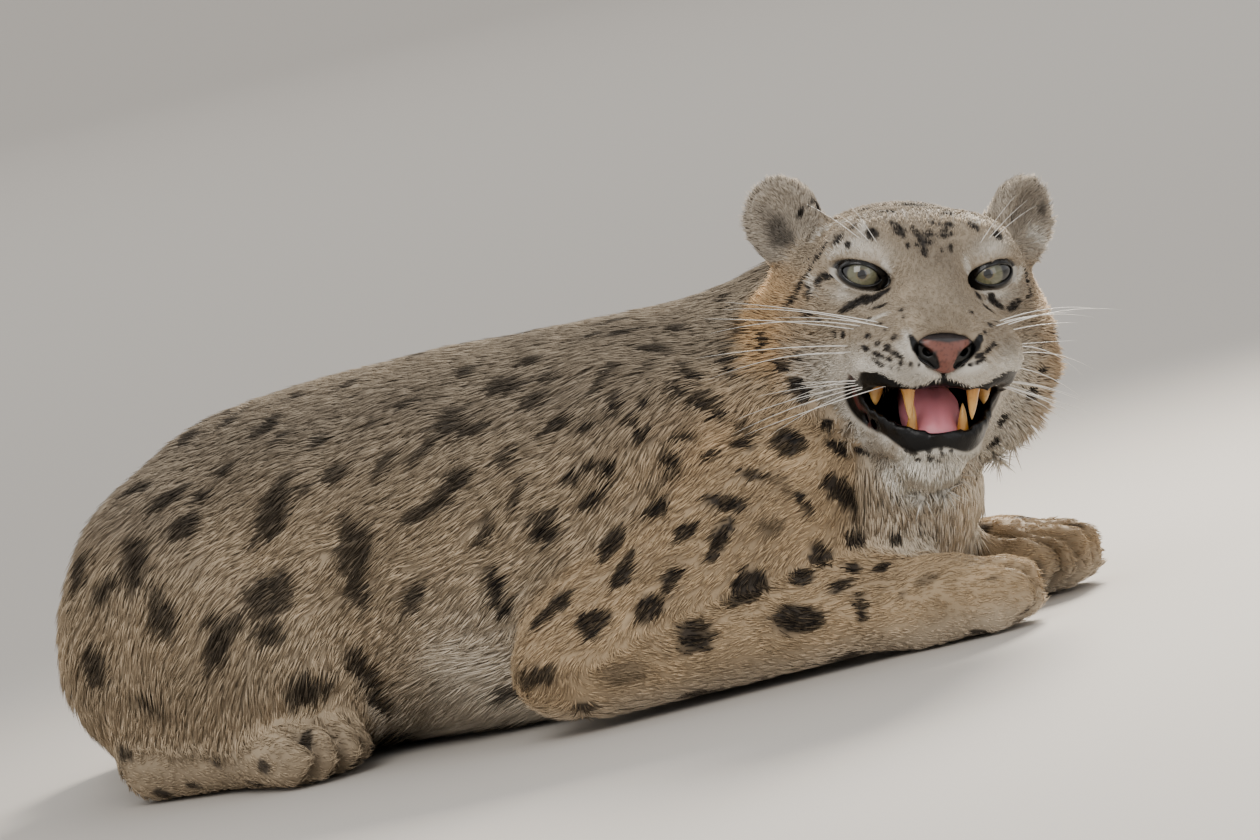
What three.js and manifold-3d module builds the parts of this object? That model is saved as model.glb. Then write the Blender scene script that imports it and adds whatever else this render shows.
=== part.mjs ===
// A snow leopard lying on its chest at life size, as a still display model.
// It rests on its belly, forearms, paws, haunches and tail, its trunk curves away
// behind it, and its head is turned to its right with the mouth open.
//
// Millimetres. +X is the way the chest faces, +Y the animal's left, +Z up, and the
// origin is on the floor under the withers. The head is modelled in a frame of its
// own, with +X to the nose, +Y to the animal's left ear and +Z to the crown.
//
// Every soft form is a field: a function of a point that is negative inside. Fields
// are ellipsoids and tapered limbs run together, and a skin is drawn over one by
// sending rays out from a line inside it.

import * as THREE from "three";
import { mergeVertices } from "three/addons/utils/BufferGeometryUtils.js";
import Module from "manifold-3d";

const wasm = await Module();
wasm.setup();

// Driving dimensions
const GAP = 0.3; // left between two pieces that touch
const SLIVER = 0.1; // facets that stand less than this off their neighbours are merged
const FLOOR_REACH = 900; // half the side of the block that cuts the flats

const WITHERS_Z = 246; // top of the back over the shoulders
const CHEST_RADIUS = 127;
const MID_RADIUS = 128;
const LOIN_RADIUS = 124;
const PELVIS_RADIUS = 116;
const RUMP_RADIUS = 84;
const BREAST_RADIUS = 106;
const NECK_RADIUS = 86;

const SHOULDER_RADIUS = 60;
const ELBOW_RADIUS = 46;
const WRIST_RADIUS = 35;
const FOREPAW_LENGTH = 118;
const FOREPAW_WIDTH = 92;
const FOREPAW_HEIGHT = 60;

const HIP_RADIUS = 92;
const KNEE_RADIUS = 64;
const HOCK_RADIUS = 36;
const HIP_SPREAD = 66; // from the middle plane to a hip
const KNEE_SPREAD = 104;
const HINDPAW_LENGTH = 108;
const HINDPAW_WIDTH = 82;
const HINDPAW_HEIGHT = 52;

const TAIL_ROOT_RADIUS = 46;
const TAIL_MIDDLE_RADIUS = 50;
const TAIL_TIP_RADIUS = 41;

const HEAD_CENTRE = [189, -70, 226];
const HEAD_TURN = 80; // degrees that the nose is turned to the animal's right
const HEAD_TILT = 14; // degrees that the crown leans to +X
const HEAD_RAISE = 1.5; // degrees that the nose is raised
const SKULL_HALF_WIDTH = 80;
const RUFF_HALF_WIDTH = 110;
const EYE_RADIUS = 16;
const EYE_SPREAD = 42; // from the middle plane to an eye's centre
const EYE_PLACE = [54, 10]; // forward and up from the head's centre
const EAR_SPREAD = 80;
const EAR_HEIGHT = 54;
const EAR_WIDTH = 54;

// Points and fields
const v3 = (x, y, z) => new THREE.Vector3(x, y, z);
const along = (a, b, t) => a.clone().lerp(b, t);

function ellipsoid(centre, radii, turn = new THREE.Euler()) {
  const [cx, cy, cz] = centre;
  const [rx, ry, rz] = radii;
  const back = new THREE.Matrix4().makeRotationFromEuler(turn).invert();
  const p = new THREE.Vector3();
  return (x, y, z) => {
    p.set(x - cx, y - cy, z - cz).applyMatrix4(back);
    const k0 = Math.hypot(p.x / rx, p.y / ry, p.z / rz);
    const k1 = Math.hypot(p.x / rx ** 2, p.y / ry ** 2, p.z / rz ** 2);
    return k1 < 1e-9 ? -Math.min(rx, ry, rz) : (k0 * (k0 - 1)) / k1;
  };
}

// A tapered limb with round ends, from a to b.
function limb(a, b, radiusA, radiusB) {
  const ab = b.clone().sub(a);
  const reach = ab.lengthSq();
  return (x, y, z) => {
    const [px, py, pz] = [x - a.x, y - a.y, z - a.z];
    const h = Math.min(1, Math.max(0, (px * ab.x + py * ab.y + pz * ab.z) / reach));
    const away = Math.hypot(px - h * ab.x, py - h * ab.y, pz - h * ab.z);
    return away - (radiusA + (radiusB - radiusA) * h);
  };
}

// Fields run together, with a fillet of about the size given between them.
function blend(fillet, ...fields) {
  return (x, y, z) => {
    let d = fields[0](x, y, z);
    for (let i = 1; i < fields.length; i++) {
      const e = fields[i](x, y, z);
      const h = Math.max(0, fillet - Math.abs(d - e)) / fillet;
      d = Math.min(d, e) - (h * h * fillet) / 4;
    }
    return d;
  };
}

// One field with another pressed into it, with a soft edge.
function pressed(fillet, field, tool) {
  return (x, y, z) => {
    const d = field(x, y, z);
    const e = -tool(x, y, z);
    const h = Math.max(0, fillet - Math.abs(d - e)) / fillet;
    return Math.max(d, e) + (h * h * fillet) / 4;
  };
}

// A field cut off above a height that may change across it.
const below = (field, top) => (x, y, z) => Math.max(field(x, y, z), z - top(y));

// How far a ray from a point inside a field goes before it leaves it.
function reachOf(field, from, dir) {
  const at = (s) => field(from.x + s * dir.x, from.y + s * dir.y, from.z + s * dir.z);
  let inside = 0;
  let step = 2;
  while (at(inside + step) < 0 && inside < 600) {
    inside += step;
    step = Math.max(1.5, -at(inside) * 0.6);
  }
  let outside = inside + step;
  for (let i = 0; i < 24; i++) {
    const middle = (inside + outside) / 2;
    if (at(middle) < 0) inside = middle;
    else outside = middle;
  }
  return outside;
}

// Skins, solids and cuts

// A closed skin over a field: rays leave a line inside it, square to the line along
// its length and fanning out to a pole past each end.
function skin(field, line, { sides, lengths, caps = 5, up = v3(0, 0, 1) }) {
  const curve = line.length > 2 ? new THREE.CatmullRomCurve3(line) : new THREE.LineCurve3(...line);
  const rows = [];
  for (let i = 0; i <= caps; i++) rows.push([0, (Math.PI / 2) * (i / caps - 1)]);
  for (let i = 1; i < lengths; i++) rows.push([i / lengths, 0]);
  for (let i = 0; i <= caps; i++) rows.push([1, ((Math.PI / 2) * i) / caps]);
  const points = [];
  const faces = [];
  const ring = (row) => 1 + (row - 1) * sides;
  rows.forEach(([t, lean], row) => {
    const from = curve.getPoint(t);
    const forward = curve.getTangent(t).normalize();
    const side = v3().crossVectors(up, forward).normalize();
    const top = v3().crossVectors(forward, side);
    const pole = row === 0 || row === rows.length - 1;
    for (let i = 0; i < (pole ? 1 : sides); i++) {
      const angle = (2 * Math.PI * i) / sides;
      const dir = side.clone().multiplyScalar(Math.cos(angle));
      dir.addScaledVector(top, Math.sin(angle)).multiplyScalar(Math.cos(lean));
      dir.addScaledVector(forward, Math.sin(lean)).normalize();
      points.push(from.clone().addScaledVector(dir, reachOf(field, from, dir)));
    }
  });
  const last = points.length - 1;
  for (let i = 0; i < sides; i++) {
    const j = (i + 1) % sides;
    faces.push(0, ring(1) + j, ring(1) + i);
    for (let row = 1; row < rows.length - 2; row++) {
      const [a, b] = [ring(row), ring(row + 1)];
      faces.push(a + i, a + j, b + j, a + i, b + j, b + i);
    }
    const end = ring(rows.length - 2);
    faces.push(last, end + i, end + j);
  }
  const geometry = new THREE.BufferGeometry().setFromPoints(points);
  geometry.setIndex(faces);
  return geometry;
}

// A closed geometry as a solid that can be joined and cut.
function solid(geometry) {
  const bare = geometry.clone();
  bare.deleteAttribute("normal");
  bare.deleteAttribute("uv");
  const merged = mergeVertices(bare, 1e-4);
  const vertProperties = merged.attributes.position.array;
  const triVerts = new Uint32Array(merged.index.array);
  return new wasm.Manifold(new wasm.Mesh({ numProp: 3, vertProperties, triVerts }));
}

// The same geometry with every point moved out along its normal.
function grown(geometry, distance) {
  const made = geometry.clone();
  made.computeVertexNormals();
  const { position, normal } = made.attributes;
  for (let i = 0; i < position.count; i++) {
    position.setXYZ(
      i,
      position.getX(i) + distance * normal.getX(i),
      position.getY(i) + distance * normal.getY(i),
      position.getZ(i) + distance * normal.getZ(i),
    );
  }
  return made;
}

// The largest closed surface of a solid, without scraps, sealed hollows and slivers.
function largest(made) {
  const bodies = made.simplify(SLIVER).decompose();
  return bodies.reduce((a, b) => (b.volume() > a.volume() ? b : a));
}

function geometryOf(made) {
  const mesh = made.getMesh();
  const points = new Float32Array(mesh.numVert * 3);
  for (let i = 0; i < mesh.numVert; i++) {
    points.set(mesh.vertProperties.subarray(i * mesh.numProp, i * mesh.numProp + 3), i * 3);
  }
  const geometry = new THREE.BufferGeometry();
  geometry.setAttribute("position", new THREE.BufferAttribute(points, 3));
  geometry.setIndex(new THREE.BufferAttribute(mesh.triVerts, 1));
  return geometry;
}

// A block that fills one side of a plane, from the point on and along the normal.
function halfSpace(point, normal) {
  const block = new THREE.BoxGeometry(2 * FLOOR_REACH, 2 * FLOOR_REACH, FLOOR_REACH);
  block.translate(0, 0, FLOOR_REACH / 2);
  const turn = new THREE.Quaternion().setFromUnitVectors(v3(0, 0, 1), normal.clone().normalize());
  block.applyQuaternion(turn).translate(point.x, point.y, point.z);
  return solid(block);
}
const floorBlock = halfSpace(v3(0, 0, 0), v3(0, 0, -1));

// Trunk and neck: the spine runs from the rump to the breast
const rump = v3(-345, 262, 112);
const pelvis = v3(-268, 188, 126);
const loin = v3(-188, 108, 126);
const middle = v3(-100, 42, 124);
const chest = v3(0, 0, WITHERS_Z - CHEST_RADIUS);
const breast = v3(112, -26, 112);
const nape = v3(76, 8, 160);
const throat = v3(126, -14, 194);

const trunkField = blend(
  45,
  limb(rump, pelvis, RUMP_RADIUS, PELVIS_RADIUS),
  limb(pelvis, loin, PELVIS_RADIUS, LOIN_RADIUS),
  limb(loin, middle, LOIN_RADIUS, MID_RADIUS),
  limb(middle, chest, MID_RADIUS, CHEST_RADIUS),
  limb(chest, breast, CHEST_RADIUS, BREAST_RADIUS),
  limb(nape, throat, NECK_RADIUS, NECK_RADIUS - 6),
);
const trunkSkin = skin(trunkField, [rump, pelvis, loin, middle, chest, breast], {
  sides: 20,
  lengths: 12,
});
const neckSkin = skin(trunkField, [chest, nape, throat], { sides: 18, lengths: 6, caps: 4 });
const neckCutPoint = v3(92, -20, 195);
const neckCutNormal = v3(0.35, -0.12, 0.93).normalize();

// Legs

// A paw with four toes, its heel at the first point and its toes towards the second.
function pawField(heel, heading, length, width, height) {
  const forward = heading.clone().normalize();
  const left = v3(-forward.y, forward.x, 0).normalize();
  const yaw = Math.atan2(forward.y, forward.x);
  const turned = new THREE.Euler(0, 0, yaw);
  const place = (ahead, aside, upward) => {
    const p = heel.clone().addScaledVector(forward, ahead * length);
    p.addScaledVector(left, aside * width);
    return [p.x, p.y, upward * height];
  };
  const toes = [-0.33, -0.12, 0.12, 0.33].map((aside, i) => {
    const ahead = i === 0 || i === 3 ? 0.68 : 0.78;
    return ellipsoid(place(ahead, aside, 0.4), [0.25 * length, 0.145 * width, 0.42 * height], turned);
  });
  const palm = ellipsoid(place(0.36, 0, 0.46), [0.42 * length, 0.46 * width, 0.55 * height], turned);
  return blend(9, palm, ...toes);
}

const FORELEGS = {
  right: {
    shoulder: v3(84, -92, 122),
    elbow: v3(-88, -128, 46),
    wrist: v3(118, -130, 34),
    toes: v3(235, -126, 0),
  },
  left: {
    shoulder: v3(96, 72, 118),
    elbow: v3(-62, 120, 46),
    wrist: v3(172, 46, 34),
    toes: v3(292, -2, 0),
  },
};
const armSkin = (from, to, fromRadius, toRadius) =>
  skin(limb(from, to, fromRadius, toRadius), [from, to], { sides: 12, lengths: 4, caps: 4 });
function forepawSkin({ wrist, toes }) {
  const way = toes.clone().sub(wrist).setZ(0).normalize();
  const heel = wrist.clone().addScaledVector(way, -6);
  const field = pawField(heel, way, FOREPAW_LENGTH, FOREPAW_WIDTH, FOREPAW_HEIGHT);
  const line = [0.3, 0.68].map((t) => heel.clone().addScaledVector(way, t * FOREPAW_LENGTH).setZ(24));
  return skin(field, line, { sides: 20, lengths: 5, caps: 3 });
}

// The pelvis faces the loin; the hind legs are placed from it, ahead, aside and up.
const pelvisWay = loin.clone().sub(pelvis).setZ(0).normalize();
const pelvisLeft = v3(-pelvisWay.y, pelvisWay.x, 0);
const fromPelvis = (ahead, aside, height) => {
  const p = pelvis.clone().addScaledVector(pelvisWay, ahead).addScaledVector(pelvisLeft, aside);
  return p.setZ(height);
};
function thighSkin(s) {
  const hip = fromPelvis(-14, s * HIP_SPREAD, 138);
  const knee = fromPelvis(112, s * KNEE_SPREAD, 82);
  const field = blend(
    40,
    limb(hip, knee, HIP_RADIUS, KNEE_RADIUS),
    limb(fromPelvis(-46, s * 84, 84), fromPelvis(96, s * 108, 62), 82, 60),
  );
  const line = [along(hip, knee, 0.1).setZ(112), along(hip, knee, 0.9).setZ(74)];
  return skin(field, line, { sides: 14, lengths: 5, caps: 4 });
}
function hindfootSkin(s) {
  const hock = fromPelvis(-22, s * 124, 30);
  const heel = fromPelvis(76, s * 134, 28);
  const way = pelvisWay.clone().addScaledVector(pelvisLeft, s * 0.14).normalize();
  const field = blend(
    14,
    limb(hock, heel, HOCK_RADIUS, HOCK_RADIUS - 7),
    pawField(heel.clone().setZ(0), way, HINDPAW_LENGTH, HINDPAW_WIDTH, HINDPAW_HEIGHT),
  );
  const tip = heel.clone().addScaledVector(way, 0.64 * HINDPAW_LENGTH).setZ(22);
  const line = [hock.clone().setZ(26), heel.clone().setZ(24), tip];
  return skin(field, line, { sides: 18, lengths: 7, caps: 4 });
}

// Tail: it leaves the rump, comes down to the floor and curls round behind the body
const tailLine = new THREE.CatmullRomCurve3([
  v3(-352, 285, 96), v3(-392, 345, 62), v3(-385, 420, 46), v3(-310, 478, 46),
  v3(-200, 490, 46), v3(-90, 455, 46), v3(10, 395, 46), v3(92, 318, 44),
]);
const tailRadius = (t) => {
  const [a, b, c] = [TAIL_ROOT_RADIUS, TAIL_MIDDLE_RADIUS, TAIL_TIP_RADIUS];
  return t < 0.5 ? a + (b - a) * t * 2 : b + (c - b) * (t * 2 - 1);
};
const TAIL_STEPS = 14;
const tailField = blend(
  12,
  ...Array.from({ length: TAIL_STEPS }, (_, i) => {
    const [t, u] = [i / TAIL_STEPS, (i + 1) / TAIL_STEPS];
    return limb(tailLine.getPointAt(t), tailLine.getPointAt(u), tailRadius(t), tailRadius(u));
  }),
);
const tailSkin = skin(tailField, tailLine.getSpacedPoints(TAIL_STEPS), { sides: 12, lengths: 22, caps: 3 });

// Head, in its own frame: skull, cheek ruff, cheek bones, brows, bridge of the nose,
// the closed form of the two jaws, and the whisker pads
const mirrored = (make) => [make(-1), make(1)];
const MOUTH_TOP = -58;
const LIP_SAG = 6; // how far each side of the upper lip hangs under the mouth's top
const upperLip = (across) => MOUTH_TOP - LIP_SAG * Math.exp(-(((Math.abs(across) - 20) / 12) ** 2));
const headField = pressed(
  10,
  blend(
    22,
    ellipsoid([-14, 0, 4], [84, SKULL_HALF_WIDTH, 58]),
    ellipsoid([-14, 0, -42], [50, RUFF_HALF_WIDTH, 84]),
    ellipsoid([-40, 0, -30], [60, 92, 78]),
    ...mirrored((s) => ellipsoid([18, s * 46, -24], [46, 40, 44])),
    ...mirrored((s) => ellipsoid([40, s * 32, 26], [30, 32, 24])),
    limb(v3(34, 0, 14), v3(104, 0, -22), 30, 18),
    limb(v3(30, 0, -66), v3(76, 0, -84), 54, 36),
    limb(v3(0, 0, -92), v3(72, 0, -108), 44, 24),
    ...mirrored((s) => ellipsoid([86, s * 27, -42], [33, 32, 25])),
  ),
  blend(4, ...mirrored((s) => ellipsoid([78, s * EYE_SPREAD, EYE_PLACE[1]], [14, 18, 12]))),
);
const headSkin = skin(headField, [v3(-20, 0, -10), v3(66, 0, -38)], {
  sides: 28,
  lengths: 9,
  caps: 6,
});
const mouthField = below(ellipsoid([80, 0, -66], [66, 51, 37]), upperLip);
const mouthSkin = skin(mouthField, [v3(62, 0, -74), v3(112, 0, -74)], {
  sides: 16,
  lengths: 3,
  caps: 3,
});
const eyePlace = (s) => v3(EYE_PLACE[0], s * EYE_SPREAD, EYE_PLACE[1]);
const eyeBall = (s, radius) => {
  const p = eyePlace(s);
  return new THREE.SphereGeometry(radius, 14, 9).translate(p.x, p.y, p.z);
};

// A closed ring of round section that follows a closed curve.
function ridge(points, radius, steps) {
  const curve = new THREE.CatmullRomCurve3(points, true);
  const [rings, sides] = [steps, 6];
  const frames = curve.computeFrenetFrames(rings, true);
  const made = [];
  const faces = [];
  for (let i = 0; i < rings; i++) {
    const p = curve.getPointAt(i / rings);
    for (let k = 0; k < sides; k++) {
      const angle = (2 * Math.PI * k) / sides;
      const q = p.clone().addScaledVector(frames.normals[i], radius * Math.cos(angle));
      made.push(q.addScaledVector(frames.binormals[i], radius * Math.sin(angle)));
      const [a, b] = [i * sides, ((i + 1) % rings) * sides];
      const n = (k + 1) % sides;
      faces.push(a + k, b + k, b + n, a + k, b + n, a + n);
    }
  }
  const geometry = new THREE.BufferGeometry().setFromPoints(made);
  geometry.setIndex(faces);
  const ring = solid(geometry);
  if (ring.volume() > 0) return ring;
  geometry.setIndex(faces.reverse());
  return solid(geometry);
}

// A lid ring lies on the eyeball, a long almond that is lower at the nose's side.
function lidRing(s) {
  const centre = eyePlace(s);
  const points = [];
  const facing = v3(1, s * 0.22, 0.02).normalize();
  const outward = v3(-0.22, s, 0).normalize();
  const up = v3().crossVectors(facing, outward).multiplyScalar(s).normalize();
  for (let i = 0; i < 14; i++) {
    const angle = (2 * Math.PI * i) / 14;
    const across = 15 * Math.cos(angle);
    const rise = 9 * Math.sin(angle) * (Math.sin(angle) > 0 ? 1 : 0.85) + 1.6 * Math.cos(angle);
    const p = centre.clone().addScaledVector(outward, across).addScaledVector(up, rise);
    const depth = Math.sqrt(Math.max(30, (EYE_RADIUS + 1.5) ** 2 - across ** 2 - rise ** 2));
    points.push(p.addScaledVector(facing, depth));
  }
  return ridge(points, 3.4, 16);
}

// The lips: a roll round the opening of the mouth, set where the jaws' skin meets it.
function lipRoll() {
  const points = [];
  const count = 18;
  for (let i = 0; i < count; i++) {
    const angle = (2 * Math.PI * i) / count;
    const across = 47 * Math.cos(angle);
    const low = Math.sin(angle) < 0;
    const height = low ? MOUTH_TOP + 38 * Math.sin(angle) : upperLip(across) - 1;
    const dir = v3(1, 0, 0);
    const from = v3(0, across, height);
    points.push(v3(reachOf(headField, from, dir) - 5, across, height));
  }
  return ridge(points, 4, 28);
}

let headSolid = solid(headSkin).subtract(solid(mouthSkin));
for (const s of [-1, 1]) headSolid = headSolid.add(lidRing(s));
headSolid = headSolid.add(lipRoll());
for (const s of [-1, 1]) headSolid = headSolid.subtract(solid(eyeBall(s, EYE_RADIUS + GAP)));

// Ruff and beard: flat tapered locks that lie down over the cheeks and the chin. Each
// has its root under the head's skin and its tip a little over it.
const RUFF_ROWS = 3;
const RUFF_LOCKS = 8; // in a row, on each side
const LOCK_WIDTH = 17;
const LOCK_THICKNESS = 5;
const ruffCentre = v3(-14, 0, -34);
function onHead(forwardness, side, angle, over) {
  const dir = v3(forwardness, side * Math.cos(angle), Math.sin(angle)).normalize();
  return ruffCentre.clone().addScaledVector(dir, reachOf(headField, ruffCentre, dir) + over);
}
function lock(root, bend, tip, width) {
  const out = bend.clone().sub(ruffCentre).normalize();
  const rings = [];
  for (const [t, size] of [[0, 0.7], [0.4, 1], [0.75, 0.62]]) {
    const p = along(along(root, bend, Math.min(1, t * 1.4)), along(bend, tip, t), t);
    const way = tip.clone().sub(root).normalize();
    const side = v3().crossVectors(way, out).normalize().multiplyScalar((width * size) / 2);
    const up = out.clone().multiplyScalar((LOCK_THICKNESS * size) / 2);
    rings.push([p.clone().add(side), p.clone().add(up), p.clone().sub(side), p.clone().sub(up)]);
  }
  const points = [...rings.flat(), tip];
  const faces = [0, 2, 1, 0, 3, 2];
  for (let ring = 0; ring < rings.length - 1; ring++) {
    for (let k = 0; k < 4; k++) {
      const [a, b] = [ring * 4 + k, ring * 4 + ((k + 1) % 4)];
      faces.push(a, b, b + 4, a, b + 4, a + 4);
    }
  }
  const last = (rings.length - 1) * 4;
  for (let k = 0; k < 4; k++) faces.push(last + k, last + ((k + 1) % 4), points.length - 1);
  const geometry = new THREE.BufferGeometry().setFromPoints(points);
  geometry.setIndex(faces);
  const made = solid(geometry);
  if (made.volume() > 0) return made;
  geometry.setIndex(faces.reverse());
  return solid(geometry);
}
const locks = [];
for (const s of [-1, 1]) {
  for (let row = 0; row < RUFF_ROWS; row++) {
    for (let k = 0; k < RUFF_LOCKS; k++) {
      const angle = THREE.MathUtils.degToRad(4 - (k + (row % 2) / 2) * 10.5);
      const ahead = 0.36 - 0.3 * row;
      const reach = THREE.MathUtils.degToRad(15 + 3 * ((k * 7 + row * 3) % 4));
      const bend = onHead(ahead - 0.14, s, angle - reach * 0.5, 1.5);
      const tip = onHead(ahead - 0.26, s, angle - reach, 5);
      locks.push(lock(onHead(ahead, s, angle, -7), bend, tip, LOCK_WIDTH));
    }
  }
}
for (const across of [-0.3, -0.15, 0, 0.15, 0.3]) {
  const low = -Math.PI / 2 + across;
  const bend = onHead(0.72 - Math.abs(across), 1, low, 2);
  locks.push(lock(onHead(0.86, 1, low, -6), bend, onHead(0.5, 1, low, 9), LOCK_WIDTH * 0.8));
}
const lockSolid = wasm.Manifold.union(locks);

// Ears: short round cups that face forward and outward
function earShape(s, ahead, depth, width, height) {
  const made = new THREE.SphereGeometry(1, 14, 10).scale(depth, width / 2, height / 2);
  made.translate(ahead, 0, ahead / 15).rotateX(s * -0.42).rotateZ(s * 0.62);
  return made.translate(-12, s * EAR_SPREAD, 46);
}
const earShell = (s, extra = 0) => {
  const more = 2 * extra;
  return earShape(s, 0, 17 + extra, EAR_WIDTH + more, EAR_HEIGHT + 8 + more);
};
const earBowl = (s) => earShape(s, 15, 19, EAR_WIDTH - 10, EAR_HEIGHT);

// Nose pad with two nostrils
const noseField = blend(
  5,
  ellipsoid([113, 0, -36], [11, 21, 8]),
  ellipsoid([114, 0, -47], [9, 9, 9]),
  ...mirrored((s) => ellipsoid([112, s * 10, -42], [10, 9, 8])),
);
const noseSkin = skin(noseField, [v3(110, -4, -40), v3(110, 4, -40)], {
  sides: 12,
  lengths: 3,
  caps: 3,
  up: v3(1, 0, 0),
});
const nostril = (s) => {
  const bead = new THREE.SphereGeometry(1, 8, 6).scale(6, 3.6, 2.6);
  return bead.rotateX(s * 0.5).rotateZ(s * 0.5).translate(120, s * 12, -41);
};

// Teeth and tongue
function tooth(root, tip, radius, sides = 10) {
  const length = root.distanceTo(tip);
  const profile = [[0, 0], [radius, 0], [radius * 0.94, 0.35], [radius * 0.62, 0.75], [0, 1]];
  const points = profile.map(([r, t]) => new THREE.Vector2(r, t * length));
  const made = new THREE.LatheGeometry(points, sides);
  const turn = new THREE.Quaternion().setFromUnitVectors(
    v3(0, 1, 0),
    tip.clone().sub(root).normalize(),
  );
  made.applyQuaternion(turn).translate(root.x, root.y, root.z);
  made.deleteAttribute("normal");
  made.deleteAttribute("uv");
  return mergeVertices(made, 1e-4);
}
const tongueField = blend(
  10,
  limb(v3(42, 0, -70), v3(66, 0, -80), 16, 17),
  limb(v3(66, 0, -80), v3(88, 0, -96), 17, 14),
);
const flatTongue = (x, y, z) => tongueField(x, y * 0.96, z);
const tongueSkin = skin(flatTongue, [v3(46, 0, -72), v3(66, 0, -80), v3(86, 0, -94)], {
  sides: 14,
  lengths: 6,
  caps: 4,
});

// Assembly. Each piece is cut by the floor and by the pieces before it, a gap wide.
const headFrame = new THREE.Group();
headFrame.position.set(...HEAD_CENTRE);
headFrame.rotation.set(...[-HEAD_TILT, -HEAD_RAISE, -HEAD_TURN].map(THREE.MathUtils.degToRad), "ZYX");
headFrame.updateMatrix();

const coat = new THREE.MeshStandardMaterial({ color: 0xa8998a, roughness: 0.9 });
const irisFinish = new THREE.MeshStandardMaterial({ color: 0x8f9478, roughness: 0.1 });
const noseFinish = new THREE.MeshStandardMaterial({ color: 0x7a5048, roughness: 0.5 });
const tongueFinish = new THREE.MeshStandardMaterial({ color: 0xc77b86, roughness: 0.4 });
const toothFinish = new THREE.MeshStandardMaterial({ color: 0xd9b676, roughness: 0.3 });

function named(name, made, material) {
  const mesh = new THREE.Mesh(geometryOf(largest(made)), material);
  mesh.name = name;
  return mesh;
}

const animal = new THREE.Group();
const cutters = [solid(grown(headSkin.clone().applyMatrix4(headFrame.matrix), GAP))];
function addSoft(name, geometry, start = solid(geometry)) {
  const made = cutters.reduce((whole, cutter) => whole.subtract(cutter), start.subtract(floorBlock));
  animal.add(named(name, made, coat));
  cutters.push(solid(grown(geometry, GAP)));
}
for (const [side, leg] of Object.entries(FORELEGS)) {
  addSoft("upper_arm_" + side, armSkin(leg.shoulder, leg.elbow, SHOULDER_RADIUS, ELBOW_RADIUS));
  addSoft("forearm_" + side, armSkin(leg.elbow, leg.wrist, ELBOW_RADIUS, WRIST_RADIUS));
  addSoft("forepaw_" + side, forepawSkin(leg));
}
for (const [side, s] of [["right", -1], ["left", 1]]) {
  addSoft("hindfoot_" + side, hindfootSkin(s));
  addSoft("hindleg_" + side, thighSkin(s));
}
// The neck's parting from the torso
const gapHalf = neckCutNormal.clone().multiplyScalar(GAP / 2);
const aboveNeckCut = halfSpace(neckCutPoint.clone().add(gapHalf), neckCutNormal);
const belowNeckCut = halfSpace(neckCutPoint.clone().sub(gapHalf), neckCutNormal.clone().negate());
addSoft("torso", trunkSkin, solid(trunkSkin).intersect(belowNeckCut));
const beforeNeck = cutters.slice(0, -1);
for (const s of [-1, 1]) beforeNeck.push(solid(earShell(s, GAP).applyMatrix4(headFrame.matrix)));
const neckStart = solid(neckSkin).intersect(aboveNeckCut);
animal.add(named("neck", beforeNeck.reduce((whole, cutter) => whole.subtract(cutter), neckStart), coat));
cutters.push(solid(grown(neckSkin, GAP)));

// The tail is cut square to its line into three lengths.
const tailCuts = [0.36, 0.68].map((t) => ({
  point: tailLine.getPointAt(t),
  way: tailLine.getTangentAt(t),
}));
const tailStart = solid(tailSkin).subtract(floorBlock);
const tailWhole = cutters.reduce((whole, cutter) => whole.subtract(cutter), tailStart);
const tailSide = ({ point, way }, s) =>
  halfSpace(point.clone().addScaledVector(way, (s * GAP) / 2), way.clone().multiplyScalar(s));
const [firstCut, secondCut] = tailCuts;
const tailBehind = tailWhole.intersect(tailSide(firstCut, 1));
animal.add(named("tail_root", tailWhole.intersect(tailSide(firstCut, -1)), coat));
animal.add(named("tail_middle", tailBehind.intersect(tailSide(secondCut, -1)), coat));
animal.add(named("tail_tip", tailBehind.intersect(tailSide(secondCut, 1)), coat));

// Head pieces
const TEETH = {
  canine_upper_right: [v3(97, -22.5, -54), v3(101, -21, -84), 5.4],
  canine_upper_left: [v3(97, 22.5, -54), v3(101, 21, -84), 5.4],
  canine_lower_right: [v3(89, -20.5, -108), v3(92, -19.5, -74), 4.8],
  canine_lower_left: [v3(89, 20.5, -108), v3(92, 19.5, -74), 4.8],
  premolar_upper_right: [v3(66, -36, -54), v3(67, -36, -74), 6.5],
  premolar_upper_left: [v3(66, 36, -54), v3(67, 36, -74), 6.5],
};
for (const s of [-1, 1]) {
  const side = s < 0 ? "right" : "left";
  const ear = solid(earShell(s)).subtract(solid(earBowl(s))).subtract(solid(grown(headSkin, GAP)));
  headFrame.add(named("ear_" + side, ear, coat));
  headFrame.add(named("eye_" + side, solid(eyeBall(s, EYE_RADIUS)), irisFinish));
}
const nose = solid(noseSkin).subtract(solid(nostril(-1))).subtract(solid(nostril(1)));
headFrame.add(named("nose", nose, noseFinish));
headSolid = headSolid.subtract(solid(grown(noseSkin, GAP)));
headFrame.add(named("tongue", solid(tongueSkin), tongueFinish));
headSolid = headSolid.subtract(solid(grown(tongueSkin, GAP)));
for (const [name, [root, tip, radius]] of Object.entries(TEETH)) {
  const made = tooth(root, tip, radius);
  headFrame.add(named(name, solid(made), toothFinish));
  headSolid = headSolid.subtract(solid(grown(made, GAP)));
}

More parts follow.
